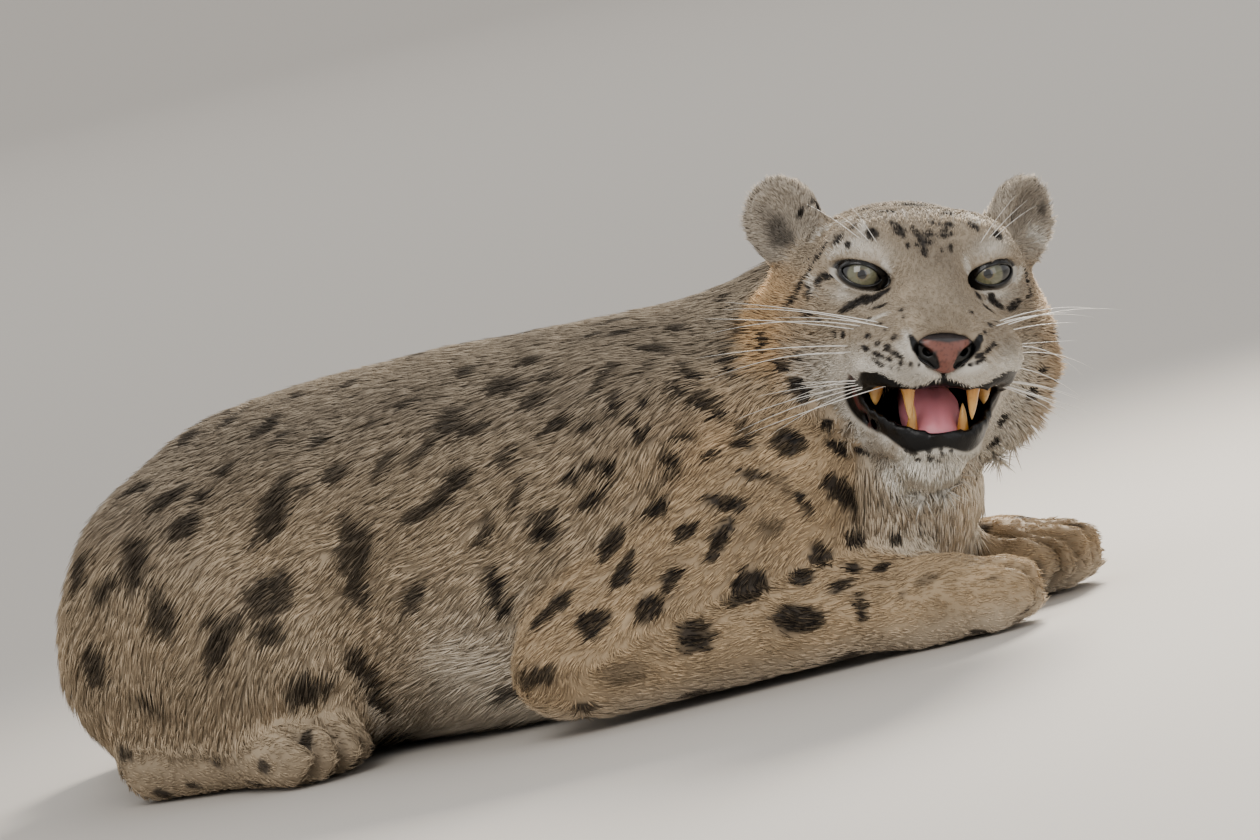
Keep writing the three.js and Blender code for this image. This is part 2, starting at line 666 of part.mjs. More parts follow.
// The locks are cut clear of what lies round the head before they are fused with it.
const intoHead = headFrame.matrix.clone().invert();
const around = [trunkSkin, neckSkin];
for (const leg of Object.values(FORELEGS)) {
  around.push(armSkin(leg.shoulder, leg.elbow, SHOULDER_RADIUS, ELBOW_RADIUS));
}
let clearLocks = lockSolid;
for (const form of around) {
  clearLocks = clearLocks.subtract(solid(grown(form, GAP * 2).applyMatrix4(intoHead)));
}
for (const s of [-1, 1]) clearLocks = clearLocks.subtract(solid(earShell(s, GAP)));
headFrame.add(named("head", headSolid.add(clearLocks), coat));
animal.add(headFrame);

export default animal;
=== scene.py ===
# A snow leopard lying on its chest at life size, made as a still display model.
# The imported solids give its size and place; this file gives it a skin, a coat of
# fur tufts, eyes with lids, nose, mouth, teeth, tongue and whiskers. Metres.
import math

import bmesh
import bpy
import numpy as np
from mathutils import Matrix, Vector
from mathutils.bvhtree import BVHTree
from mathutils.kdtree import KDTree


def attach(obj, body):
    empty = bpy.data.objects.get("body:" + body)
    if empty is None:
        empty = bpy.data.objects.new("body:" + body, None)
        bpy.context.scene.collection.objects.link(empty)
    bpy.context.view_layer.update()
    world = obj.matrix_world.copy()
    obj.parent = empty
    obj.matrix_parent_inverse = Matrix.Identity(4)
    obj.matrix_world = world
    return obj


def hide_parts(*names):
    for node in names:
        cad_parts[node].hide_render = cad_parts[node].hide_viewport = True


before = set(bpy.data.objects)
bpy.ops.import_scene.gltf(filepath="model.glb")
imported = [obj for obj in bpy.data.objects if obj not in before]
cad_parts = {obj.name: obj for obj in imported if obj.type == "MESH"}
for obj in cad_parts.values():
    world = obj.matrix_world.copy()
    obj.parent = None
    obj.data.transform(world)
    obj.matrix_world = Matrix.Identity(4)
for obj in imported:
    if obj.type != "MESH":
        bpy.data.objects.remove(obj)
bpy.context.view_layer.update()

# Camera. It has the photograph's view: low, a long lens, and rolled so that the level
# floor slopes down to the left. The frame has 1.5 pixels to a millimetre of the animal.
FRAME_WIDTH = 1260
FRAME_HEIGHT = 840
PIXELS_PER_METRE = 1500
SENSOR_WIDTH = 36
CAMERA_HEIGHT_ANGLE = math.radians(4)
CAMERA_ROLL = math.radians(14)
CAMERA_DISTANCE = 6.0
WITHERS_TOP = Vector((0, 0, 0.246))
WITHERS_PIXEL = (620, 325)
cos_roll = math.cos(CAMERA_ROLL)
sin_roll = math.sin(CAMERA_ROLL)
look = Vector((0, math.cos(CAMERA_HEIGHT_ANGLE), -math.sin(CAMERA_HEIGHT_ANGLE)))
level_up = Vector((0, math.sin(CAMERA_HEIGHT_ANGLE), math.cos(CAMERA_HEIGHT_ANGLE)))
picture_right = cos_roll * Vector((1, 0, 0)) - sin_roll * level_up
picture_up = sin_roll * Vector((1, 0, 0)) + cos_roll * level_up
aim = WITHERS_TOP + picture_right * (FRAME_WIDTH / 2 - WITHERS_PIXEL[0]) / PIXELS_PER_METRE
aim = aim + picture_up * (WITHERS_PIXEL[1] - FRAME_HEIGHT / 2) / PIXELS_PER_METRE
eye_point = aim - look * CAMERA_DISTANCE


def add_object(name, data):
    """A new object in the scene that holds the data given."""
    made = bpy.data.objects.new(name, data)
    bpy.context.scene.collection.objects.link(made)
    return made


camera_data = bpy.data.cameras.new("camera")
camera_data.sensor_width = SENSOR_WIDTH
camera_data.lens = SENSOR_WIDTH * CAMERA_DISTANCE * PIXELS_PER_METRE / FRAME_WIDTH
camera_data.clip_end = 60
camera = add_object("camera", camera_data)
turn = Matrix((picture_right, picture_up, -look)).transposed().to_4x4()
camera.matrix_world = Matrix.Translation(eye_point) @ turn
bpy.context.scene.camera = camera


def pixel_ray(x, y):
    """The direction from the camera through a pixel of the frame."""
    way = look * (CAMERA_DISTANCE * PIXELS_PER_METRE)
    way = way + picture_right * (x - FRAME_WIDTH / 2) + picture_up * (FRAME_HEIGHT / 2 - y)
    return way.normalized()


# Studio. A pale floor that curves up into a wall behind, a large soft light above, a
# fill from the camera's side, a low warm light behind that rims the fur, and a wide
# light over the floor behind.
FLOOR_HALF_WIDTH = 30.0
FLOOR_FRONT = -24.0
WALL_START = 20.0
WALL_RADIUS = 6.0
WALL_TOP = 20
SWEEP_STEPS = 24
sweep = []
for step in range(SWEEP_STEPS + 1):
    angle = math.pi / 2 * step / SWEEP_STEPS
    sweep.append((WALL_START + WALL_RADIUS * math.sin(angle), WALL_RADIUS * (1 - math.cos(angle))))
profile = [(FLOOR_FRONT, 0)] + sweep + [(WALL_START + WALL_RADIUS, WALL_TOP)]
floor_points = [(x, y, z) for y, z in profile for x in (-FLOOR_HALF_WIDTH, FLOOR_HALF_WIDTH)]
floor_faces = [(2 * i, 2 * i + 1, 2 * i + 3, 2 * i + 2) for i in range(len(profile) - 1)]
floor_mesh = bpy.data.meshes.new("floor")
floor_mesh.from_pydata(floor_points, [], floor_faces)


def shade_smooth(mesh):
    """Gives every face of a mesh smooth shading."""
    mesh.polygons.foreach_set("use_smooth", [True] * len(mesh.polygons))


shade_smooth(floor_mesh)
floor = add_object("floor", floor_mesh)


def rgb(red, green, blue):
    """A colour given in screen values from 0 to 255, as the linear values a shader takes."""
    return tuple((c / 255) ** 2.2 for c in (red, green, blue))


def principled(name, colour=(0.5, 0.5, 0.5), roughness=0.6):
    """A new material with one Principled shader, and its nodes, links and shader."""
    material = bpy.data.materials.new(name)
    material.use_nodes = True
    nodes = material.node_tree.nodes
    shader = nodes["Principled BSDF"]
    shader.inputs["Base Color"].default_value = (*colour, 1)
    shader.inputs["Roughness"].default_value = roughness
    return material, nodes, material.node_tree.links, shader


def vary_roughness(nodes, links, shader, source, at_zero, at_one):
    """Runs a shader's roughness between two values, as its source runs from 0 to 1."""
    spread = nodes.new("ShaderNodeMapRange")
    spread.inputs["To Min"].default_value = at_zero
    spread.inputs["To Max"].default_value = at_one
    links.new(source, spread.inputs["Value"])
    links.new(spread.outputs["Result"], shader.inputs["Roughness"])


floor_paint, paint_nodes, paint_links, paint_shader = principled("floor_paint", rgb(176, 171, 164), 0.75)
mottle = paint_nodes.new("ShaderNodeTexNoise")
mottle.inputs["Scale"].default_value = 1.5
vary_roughness(paint_nodes, paint_links, paint_shader, mottle.outputs["Fac"], 0.66, 0.82)
floor_mesh.materials.append(floor_paint)


def area_light(name, place, target, size, watts, colour, spread=180):
    """A square soft light that shines from one point at another, with its spread in degrees."""
    data = bpy.data.lights.new(name, "AREA")
    data.shape = "SQUARE"
    data.size = size
    data.energy = watts
    data.color = colour
    data.spread = math.radians(spread)
    lamp = add_object(name, data)
    lamp.location = place
    lamp.rotation_euler = (Vector(target) - Vector(place)).to_track_quat("-Z", "Y").to_euler()


area_light("key_light", (-1.0, -2.2, 2.6), (0.0, 0.0, 0.15), 2.2, 62, (1.0, 0.98, 0.95))
area_light("fill_light", (2.2, -2.6, 1.0), (0.1, 0.0, 0.15), 2.0, 16, (0.95, 0.97, 1.0))
area_light("rim_light", (0.9, 2.3, 1.5), (0.15, 0.0, 0.25), 0.8, 24, (1.0, 0.92, 0.80), 60)
area_light("backdrop_light", (0.0, 12.5, 7.0), (0.0, 12.5, 0.0), 21.0, 1100, (1.0, 1.0, 1.0))
world = bpy.data.worlds.new("studio")
world.use_nodes = True
sky = world.node_tree.nodes["Background"]
sky.inputs["Color"].default_value = (0.86, 0.85, 0.84, 1)
sky.inputs["Strength"].default_value = 0.9
bpy.context.scene.world = world

# Skin. One closed skin under the whole coat, from the solids of the flesh: they are
# joined by a voxel remesh, made finer on the face, smoothed, and drawn in by the
# coat's depth. Region values are kept for each point and run softly into each other.
BODY_VOXEL = 0.0046
FLESH_GROWTH = 0.0006
BODY_SMOOTHING = 90
HEAD_SMOOTHING = 14
DRAWING_IN_STEPS = 4
SKIN_CLEARANCE = 0.0012
NOT_FLESH = ("eye", "nose", "tongue", "canine", "premolar")
HEAD_CENTRE = Vector((0.189, -0.070, 0.226))
HEAD_ANGLES = (-14.0, -1.5, -80.0)
tilt, rise, swing = (math.radians(a) for a in HEAD_ANGLES)
head_turn = Matrix.Rotation(swing, 4, "Z") @ Matrix.Rotation(rise, 4, "Y") @ Matrix.Rotation(tilt, 4, "X")
head_axes = np.array(head_turn.to_3x3())
head_origin = np.array(HEAD_CENTRE)
flesh_nodes = sorted(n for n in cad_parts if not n.startswith(NOT_FLESH))


def to_head(points):
    """Points in the head's own frame, in mm: x to the nose, y to the left ear, z to the crown."""
    return (points - head_origin) @ head_axes * 1000


def from_head(points):
    """The reverse of to_head."""
    return np.asarray(points, float) / 1000 @ head_axes.T + head_origin


def unit(vectors):
    """The vectors with length one."""
    return vectors / np.maximum(np.linalg.norm(vectors, axis=-1, keepdims=True), 1e-12)


def ramp(values, low, high):
    """0 below low, 1 above high, and a smooth step between."""
    t = np.clip((values - low) / (high - low), 0, 1)
    return t * t * (3 - 2 * t)


def smooth_noise(points, size, seed):
    """A soft random field between about -1 and 1, with lumps of the size given in metres."""
    draw = np.random.default_rng(seed)
    total = np.zeros(len(points))
    for _ in range(10):
        way = unit(draw.normal(size=3)) * draw.uniform(0.6, 1.6) / size
        total += np.sin(points @ way * 2 * math.pi + draw.uniform(0, 6.28))
    return total / 3.2


flesh = bmesh.new()
node_of_face = []
for index, name in enumerate(flesh_nodes):
    part = bmesh.new()
    part.from_mesh(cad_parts[name].data)
    bmesh.ops.remove_doubles(part, verts=part.verts, dist=1e-6)
    part.normal_update()
    for vert in part.verts:
        vert.co += vert.normal * FLESH_GROWTH
    grown = bpy.data.meshes.new("grown")
    part.to_mesh(grown)
    part.free()
    flesh.from_mesh(grown)
    node_of_face += [index] * len(grown.polygons)
    bpy.data.meshes.remove(grown)
flesh.faces.ensure_lookup_table()
flesh_tree = BVHTree.FromBMesh(flesh)
flesh_mesh = bpy.data.meshes.new("flesh")
flesh.to_mesh(flesh_mesh)
flesh.free()
flesh_object = add_object("flesh", flesh_mesh)
remesh = flesh_object.modifiers.new("joined", "REMESH")
remesh.mode = "VOXEL"
remesh.voxel_size = BODY_VOXEL


def with_modifiers(item):
    """A new mesh of an object as its modifiers leave it."""
    return bpy.data.meshes.new_from_object(item.evaluated_get(bpy.context.evaluated_depsgraph_get()))


joined_mesh = with_modifiers(flesh_object)
bpy.data.objects.remove(flesh_object)

# Of what the remesh makes, only the largest closed surface is kept.
skin_form = bmesh.new()
skin_form.from_mesh(joined_mesh)
bpy.data.meshes.remove(joined_mesh)
unseen = set(skin_form.verts)
largest = []
while unseen:
    island = [unseen.pop()]
    for vert in island:
        for edge in vert.link_edges:
            other = edge.other_vert(vert)
            if other in unseen:
                unseen.discard(other)
                island.append(other)
    if len(island) > len(largest):
        largest = island
kept = set(largest)
bmesh.ops.delete(skin_form, geom=[v for v in skin_form.verts if v not in kept], context="VERTS")


def face_middles():
    """The middle of each face of the skin."""
    return np.array([f.calc_center_median() for f in skin_form.faces])


def make_finer(inside):
    """Cuts the chosen faces of the skin in four."""
    edges = dict.fromkeys(e for f, chosen in zip(skin_form.faces, inside) if chosen for e in f.edges)
    bmesh.ops.subdivide_edges(skin_form, edges=list(edges), cuts=1, use_grid_fill=True)


# The skin is made finer in the first of these boxes in the head's frame, in mm, and
# finer again in the second.
FACE_BOXES = [((-60, -90, -140), (140, 90, 85)), ((30, -66, -112), (140, 66, 32))]
for low, high in FACE_BOXES:
    middles = to_head(face_middles())
    make_finer(np.all((middles > low) & (middles < high), axis=1))

# Each foot's heel, the way it points, its length and its width. Its toes are made finer.
FOOT_TOP = 0.08
FEET = [
    ((0.1120, -0.1302), (0.9994, 0.0342), 0.118, 0.092),
    ((0.1664, 0.0482), (0.9285, -0.3714), 0.118, 0.092),
    ((-0.3090, 0.0395), (0.6020, -0.7980), 0.108, 0.082),
    ((-0.1195, 0.2290), (0.7980, -0.6020), 0.108, 0.082),
]


def on_foot(places, foot):
    """How far along a foot the places are, as a share of its length, and how far to its left."""
    heel, way, size, _ = foot
    offset = places[:, :2] - np.array(heel)
    return offset @ np.array(way) / size, offset @ np.array((-way[1], way[0]))


middles = face_middles()
inside = np.zeros(len(middles), bool)
for foot in FEET:
    ahead, aside = on_foot(middles, foot)
    inside |= (ahead > 0.5) & (ahead < 1.2) & (np.abs(aside) < 0.6 * foot[3]) & (middles[:, 2] < FOOT_TOP)
make_finer(inside)
bmesh.ops.triangulate(skin_form, faces=[f for f in skin_form.faces if len(f.verts) > 4])
skin_mesh = bpy.data.meshes.new("skin")
skin_form.to_mesh(skin_mesh)
skin_form.free()

count = len(skin_mesh.vertices)
points = np.zeros(count * 3)
skin_mesh.vertices.foreach_get("co", points)
points = points.reshape(-1, 3)
edge_ends = np.zeros(len(skin_mesh.edges) * 2, int)
skin_mesh.edges.foreach_get("vertices", edge_ends)
edge_a, edge_b = edge_ends.reshape(-1, 2).T
valence = np.maximum(np.bincount(edge_ends, minlength=count), 1)


def neighbour_mean(values):
    """The mean of each point's neighbours on the skin."""
    values = values.reshape(count, -1)
    out = np.empty_like(values)
    for column in range(values.shape[1]):
        v = values[:, column]
        total = np.bincount(edge_a, v[edge_b], count) + np.bincount(edge_b, v[edge_a], count)
        out[:, column] = total / valence
    return out


def softened(values, rounds, weight=0.5):
    """Values run into their neighbours a number of times."""
    shape = values.shape
    values = values.reshape(count, -1).astype(float)
    for _ in range(rounds):
        values = values + (neighbour_mean(values) - values) * weight
    return values.reshape(shape)


def move_points(mesh, places):
    """Moves the points of a mesh to the places given."""
    mesh.vertices.foreach_set("co", places.ravel())
    mesh.update()


def moved_normals():
    """Moves the skin to its points as they are now, and returns their normals."""
    move_points(skin_mesh, points)
    normals = np.zeros(count * 3)
    skin_mesh.vertices.foreach_get("normal", normals)
    return normals.reshape(-1, 3)


# The node nearest to each point gives its region.
region = np.zeros(count, int)
for i in range(count):
    place, _, face, _ = flesh_tree.find_nearest(Vector(points[i]))
    region[i] = node_of_face[face]
names = np.array(flesh_nodes)[region]
local = to_head(points)
on_head = names == "head"
on_ear = np.char.startswith(names, "ear")

# Seams and facets are smoothed away on the body and a little on the face.
body_amount = softened(1.0 - (on_head | on_ear), 12)
foot_amount = np.char.startswith(names, "forepaw") | np.char.startswith(names, "hindfoot")
strength = 0.5 * np.clip(body_amount - 0.96 * softened(foot_amount * 1.0, 3), 0, 1)
for _ in range(BODY_SMOOTHING):
    points = points + (neighbour_mean(points) - points) * strength[:, None]
head_strength = 0.5 * (1 - body_amount) * np.where(on_ear, 0.35, 1.0)
for _ in range(HEAD_SMOOTHING):
    points = points + (neighbour_mean(points) - points) * head_strength[:, None]

# Coat values for each region: depth under the solid's surface, tuft length, width and
# lift in degrees, and the way the hair lies. Lengths are in mm.
COAT = {
    "torso": (8, 21, 1.45, 13, None),
    "neck": (7, 19, 1.35, 14, (-0.85, 0.20, -0.20)),
    "head": (4.5, 11, 0.85, 14, None),
    "ear": (1.2, 8, 0.6, 16, None),
    "upper_arm_right": (5, 13, 1.15, 12, (-0.86, -0.18, -0.40)),
    "upper_arm_left": (5, 13, 1.15, 12, (-0.86, 0.25, -0.40)),
    "forearm_right": (4, 11, 1.05, 12, (0.98, 0.0, -0.12)),
    "forearm_left": (4, 11, 1.05, 12, (0.92, -0.30, -0.12)),
    "forepaw_right": (2.5, 7, 0.85, 12, (1.0, 0.0, -0.20)),
    "forepaw_left": (2.5, 7, 0.85, 12, (0.92, -0.38, -0.20)),
    "hindleg": (8, 21, 1.45, 13, (-0.35, 0.15, -0.80)),
    "hindfoot": (3, 9, 0.95, 13, (0.72, -0.70, -0.10)),
    "tail": (9, 26, 1.6, 14, None),
}
TAIL_LINE = np.array([
    (-0.352, 0.285, 0.096), (-0.392, 0.345, 0.062), (-0.385, 0.420, 0.046), (-0.310, 0.478, 0.046),
    (-0.200, 0.490, 0.046), (-0.090, 0.455, 0.046), (0.010, 0.395, 0.046), (0.092, 0.318, 0.044),
])
SPINE_LINE = np.array([
    (0.126, -0.014, 0.194), (0.076, 0.008, 0.160), (0.0, 0.0, 0.119), (-0.100, 0.042, 0.124),
    (-0.188, 0.108, 0.126), (-0.268, 0.188, 0.126), (-0.345, 0.262, 0.112),
])


def along_line(places, line):
    """The way that the nearest stretch of a line runs, for each place."""
    best = np.full(len(places), 1e9)
    way = np.zeros((len(places), 3))
    for i in range(len(line) - 1):
        run = line[i + 1] - line[i]
        t = np.clip((places - line[i]) @ run / (run @ run), 0, 1)
        away = np.linalg.norm(places - (line[i] + t[:, None] * run), axis=1)
        nearer = away < best
        best = np.where(nearer, away, best)
        way[nearer] = unit(run)
    return way


normals = moved_normals()
spine_way = along_line(points, SPINE_LINE)
tail_way = along_line(points, TAIL_LINE)
values = np.zeros((count, 4))
lie = np.zeros((count, 3))
for key, (depth, length, width, lift, way) in COAT.items():
    chosen = np.char.startswith(names, key)
    values[chosen] = (depth, length, width, lift)
    if way is not None:
        lie[chosen] = way
torso = names == "torso"
lie[torso] = spine_way[torso] + np.array((0, 0, -0.55))
front = torso & (points[:, 0] > 0.10)
lie[front] = (-0.1, -0.1, -1.0)
tail = np.char.startswith(names, "tail")
lie[tail] = tail_way[tail]

# On the head the hair runs away from the nose, the eyes and the roots of the ears.
NOSE_POINT = np.array((112.0, 0.0, -30.0))
EYE_AT = (54.0, 42.0, 10.0)
EAR_ROOT = np.array((-12.0, 66.0, 30.0))
SIDES = ((-1, "right"), (1, "left"))
head_way = unit(local - NOSE_POINT)
for side, _ in SIDES:
    from_eye = local - np.array((EYE_AT[0] + 14, side * EYE_AT[1], EYE_AT[2]))
    near_eye = ramp(34 - np.linalg.norm(from_eye, axis=1), 0, 18)
    head_way = head_way + 2.0 * unit(from_eye) * near_eye[:, None]
lie[on_head] = (head_way @ head_axes.T)[on_head]
ear_roots = EAR_ROOT * np.where(local[:, 1:2] < 0, (1.0, -1.0, 1.0), 1.0)
lie[on_ear] = (unit(local - ear_roots) @ head_axes.T)[on_ear]

# The pale fringe of the belly between elbow and knee, and the long hair of the cheeks
# and chin, are longer than the rest.
depth, length, width, lift = values.T
low_side = torso * ramp(0.085 - points[:, 2], 0, 0.05) * ramp(0.13 - np.abs(points[:, 0] + 0.13), 0, 0.05)
length = length + 16 * low_side
cheek = on_head * ramp(np.abs(local[:, 1]) - 52, 0, 30) * ramp(14 - local[:, 2], 0, 40)
cheek = np.maximum(cheek, on_head * ramp(-104 - local[:, 2], 0, 12))
muzzle = on_head * ramp(local[:, 0], 44, 78)
between = on_head * (1 - cheek) * ramp(local[:, 0], 10, 40)
depth = depth + 3.0 * cheek - 2.5 * between - 1.6 * muzzle
length = length + 8 * cheek - 4.5 * between - 2.6 * muzzle
width = width + 0.4 * cheek - 0.25 * between - 0.15 * muzzle
lift = lift + 3 * cheek - 4 * muzzle
depth, length, width, lift = softened(np.stack((depth, length, width, lift), 1), 10).T
lie = softened(lie, 14)

# The skin is drawn in by the coat's depth, in small steps that are smoothed together.
for _ in range(DRAWING_IN_STEPS):
    normals = moved_normals()
    points = points - normals * (depth / (1000 * DRAWING_IN_STEPS))[:, None]
    points = points + (neighbour_mean(points) - points) * (0.3 * body_amount)[:, None]
points[:, 2] = np.maximum(points[:, 2], SKIN_CLEARANCE)

# Eye sockets: skin in front of an eyeball is pressed back behind its front.
EYE_RADIUS = 16.0
SOCKET_DEPTH = 3.5
LID_HALF_WIDTH = 13.4
LID_RISE = 5.4
LID_DROP = 6.6
LID_SLANT = math.radians(15)


def eye_frame(side):
    """An eye's centre, and its ways forward, outward and up, in the head's frame."""
    centre = np.array((EYE_AT[0], side * EYE_AT[1], EYE_AT[2]))
    forward = unit(np.array((1.0, side * 0.22, 0.02)))
    outward = unit(np.cross(np.array((0, 0, 1.0)), forward) * side)
    upward = np.cross(forward, outward) * side
    slanted = outward * math.cos(LID_SLANT) + upward * math.sin(LID_SLANT)
    risen = upward * math.cos(LID_SLANT) - outward * math.sin(LID_SLANT)
    return centre, forward, slanted, risen


local = to_head(points)
eye_reach = np.full(count, 9.0)
for side, _ in SIDES:
    centre, forward, outward, upward = eye_frame(side)
    offset = local - centre
    u, v, w = offset @ outward, offset @ upward, offset @ forward
    reach = np.hypot(u / LID_HALF_WIDTH, v / np.where(v > 0, LID_RISE, LID_DROP))
    near = (w > -8) & on_head
    eye_reach = np.where(near, np.minimum(eye_reach, reach), eye_reach)
    ball = np.sqrt(np.maximum(EYE_RADIUS ** 2 - u ** 2 - v ** 2, 4.0))
    back = np.minimum(w, ball - SOCKET_DEPTH)
    pull = ramp(1.75 - reach, 0, 0.45) * near
    local = local + forward * ((back - w) * pull)[:, None]
points = from_head(local)

# Grooves between the four toes of each foot.
TOE_GAPS = (-0.25, 0.0, 0.25)
GROOVE_WIDTH = 0.0035
GROOVE_DEPTH = 0.007
toe_groove = np.zeros(count)
for foot in FEET:
    ahead, aside = on_foot(points, foot)
    for gap in TOE_GAPS:
        cut = np.exp(-((aside - gap * foot[3]) / GROOVE_WIDTH) ** 2) * ramp(ahead, 0.62, 0.78)
        toe_groove = np.maximum(toe_groove, cut * (points[:, 2] < 0.07) * foot_amount)
normals = moved_normals()
points = points - normals * (GROOVE_DEPTH * toe_groove)[:, None]

# Groove from the nose pad to the lip.
LIP_GROOVE_DEPTH = 2.2
local = to_head(points)
groove = on_head * ramp(3.4 - np.abs(local[:, 1]), 0, 3) * ramp(local[:, 0], 90, 98)
groove = groove * ramp(-46 - local[:, 2], 0, 4) * ramp(local[:, 2] + 66, 0, 4)
points = points - (head_axes @ np.array((LIP_GROOVE_DEPTH, 0, 0)) / 1000) * groove[:, None]
normals = moved_normals()
local = to_head(points)
skin_mesh.calc_loop_triangles()
triangles = np.zeros(len(skin_mesh.loop_triangles) * 3, int)
skin_mesh.loop_triangles.foreach_get("vertices", triangles)
triangles = triangles.reshape(-1, 3)
skin_tree = BVHTree.FromPolygons([tuple(p) for p in points], [tuple(t) for t in triangles])

# Markings and painted shade. The spots that the photograph shows are put where its pixels fall on the
# skin, and with them painted shade in the ear hollows, at the neck's fold, at the knee's fold and
# between the toes of a forepaw; the rest of the coat is given rings and bars as the species has them,
# from a seeded draw. Each spot is (x, y, half length, half width, angle) in photo pixels.
FOREQUARTER_SPOTS = [
    (613, 548, 19, 8, -70), (623, 573, 19, 9, -60), (658, 510, 13, 10, -10), (723, 502, 21, 9, 15),
    (687, 533, 12, 7, -35), (720, 541, 21, 9, -60), (855, 539, 12, 10, 0), (894, 541, 7, 7, 0),
    (818, 556, 13, 12, 0), (799, 577, 13, 9, -20), (853, 568, 10, 7, -20), (841, 587, 12, 7, -40),
    (882, 568, 11, 6, -50), (745, 587, 24, 13, -30), (797, 619, 26, 15, -12), (859, 604, 13, 6, 80),
    (671, 583, 16, 8, -65), (650, 608, 19, 12, -45), (592, 624, 17, 13, -20), (565, 599, 13, 7, -50),
    (544, 616, 19, 9, -60), (696, 637, 19, 15, -20), (497, 583, 13, 12, 0), (501, 604, 13, 8, 60),
    (575, 477, 9, 7, -20), (594, 498, 14, 6, -35), (548, 533, 15, 12, -20), (612, 467, 12, 7, 80),
    (590, 463, 8, 5, -10), (617, 407, 12, 6, 80), (648, 403, 7, 5, 0), (634, 419, 11, 5, 70),
    (644, 434, 10, 7, -20), (685, 437, 12, 5, 5), (671, 456, 17, 7, 60), (713, 456, 9, 6, 20),
    (745, 442, 13, 8, 20), (756, 475, 18, 7, 15), (787, 440, 22, 12, 35), (839, 449, 14, 6, 30),
    (841, 492, 27, 10, 40), (805, 506, 14, 6, 50), (826, 423, 8, 5, 90), (798, 390, 13, 7, 60),
    (781, 367, 11, 6, 30), (803, 356, 7, 3, -20), (765, 340, 12, 5, 85), (729, 367, 21, 4, 70),
    (679, 388, 13, 5, 60), (698, 380, 8, 5, 80), (712, 409, 25, 6, 40), (565, 419, 7, 6, 0),
    (590, 426, 6, 5, 0), (988, 479, 12, 9, -40), (984, 508, 14, 8, -10),
]
NECK_SPOTS = [
    (727, 358, 15, 5, 80), (748, 430, 18, 6, 45), (655, 350, 16, 7, 20), (700, 300, 14, 6, 30),
    (725, 300, 12, 5, 60), (755, 262, 10, 4, 80), (680, 330, 14, 6, 30), (740, 330, 12, 6, 70),
    (690, 372, 12, 6, 60), (625, 335, 14, 6, 0), (665, 308, 12, 5, 10), (712, 400, 13, 6, 60),
]
# Painted shade in the hollows of the ears.
EAR_HOLLOW_SHADE = [
    (776, 230, 19, 8, 58), (1041, 211, 10, 3, 80), (1010, 219, 13, 4, -10), (784, 238, 11, 7, 40),
]
# Faint spots and streaks, with painted shade in the fold between neck and chest and between the toes of a
# forepaw.
FAINT_SPOTS_AND_FOLD_SHADE = [
    (772, 525, 16, 9, -5), (623, 674, 23, 12, -10), (534, 678, 25, 11, -15), (658, 483, 20, 5, -20),
    (675, 471, 14, 4, 0), (785, 485, 26, 4, 45), (604, 384, 17, 5, -50), (505, 384, 13, 8, 0),
    (538, 361, 12, 5, 40), (553, 376, 9, 6, 30), (542, 398, 13, 7, -10), (650, 367, 10, 8, 0),
    (669, 355, 9, 5, 0), (926, 579, 13, 7, -20), (963, 546, 13, 2, 0), (926, 533, 12, 2, -10),
    (901, 595, 7, 3, -60), (1038, 568, 10, 6, 80), (990, 579, 10, 2, -10), (969, 525, 11, 2, 5),
]
# Spots of the haunch; the two at (365, 669) and (381, 699) are painted shade in the fold between knee and
# belly.
HAUNCH_SPOTS_AND_KNEE_SHADE = [
    (138, 491, 17, 11, 10), (172, 500, 23, 8, -20), (187, 527, 21, 15, -30), (205, 497, 13, 9, 10),
    (138, 562, 29, 17, 70), (82, 573, 21, 16, 60), (109, 587, 23, 11, -20), (166, 615, 31, 16, 50),
    (222, 642, 33, 17, -60), (212, 619, 12, 8, 0), (270, 596, 29, 22, 0), (270, 633, 18, 13, 0),
    (277, 510, 36, 21, -50), (356, 527, 23, 13, 10), (358, 558, 24, 19, 0), (361, 592, 19, 13, 80),
    (423, 512, 20, 8, -20), (461, 481, 14, 13, -30), (446, 499, 15, 11, 0), (415, 596, 19, 11, -60),
    (365, 669, 27, 13, 60), (312, 684, 24, 10, 5), (300, 696, 14, 9, 0), (381, 699, 18, 13, 60),
    (97, 665, 23, 18, 70), (151, 703, 24, 8, 0), (63, 619, 19, 13, 70),
]
BACK_SPOTS = [
    (270, 428, 21, 15, 0), (304, 397, 14, 8, 20), (285, 439, 16, 6, -10), (339, 474, 23, 11, 10),
    (308, 489, 10, 8, 0), (377, 424, 8, 6, 0), (388, 464, 19, 8, -60), (457, 420, 23, 15, -15),
    (472, 432, 16, 8, 0), (507, 388, 21, 13, 20), (538, 401, 16, 9, -40), (553, 378, 10, 9, 0),
    (534, 363, 12, 7, 30), (472, 372, 14, 8, 10), (507, 458, 14, 9, 80), (557, 426, 18, 6, -50),
    (520, 495, 20, 6, -70), (591, 424, 10, 6, 0), (568, 422, 8, 6, 0), (606, 380, 23, 5, -65),
    (618, 405, 14, 7, 80), (488, 527, 21, 7, -70), (618, 324, 23, 5, -15), (595, 338, 16, 5, -10),
    (193, 432, 13, 8, 10), (411, 405, 15, 8, -10), (354, 386, 15, 7, -15), (427, 451, 18, 7, -50),
    (323, 443, 14, 7, 0), (231, 470, 17, 9, 0),
]
FLANK_SPOTS = [
    (576, 476, 10, 7, -20), (608, 466, 14, 6, 30), (595, 499, 14, 5, -30), (549, 525, 18, 12, 20),
    (551, 512, 8, 7, 0), (614, 541, 20, 8, -70), (624, 566, 20, 8, -65), (497, 590, 23, 11, 70),
    (509, 608, 10, 9, 0), (549, 613, 23, 11, -70), (564, 602, 12, 11, 0), (595, 623, 18, 12, -15),
    (513, 686, 24, 10, -20), (538, 677, 21, 10, -20), (587, 707, 16, 8, -20),
]
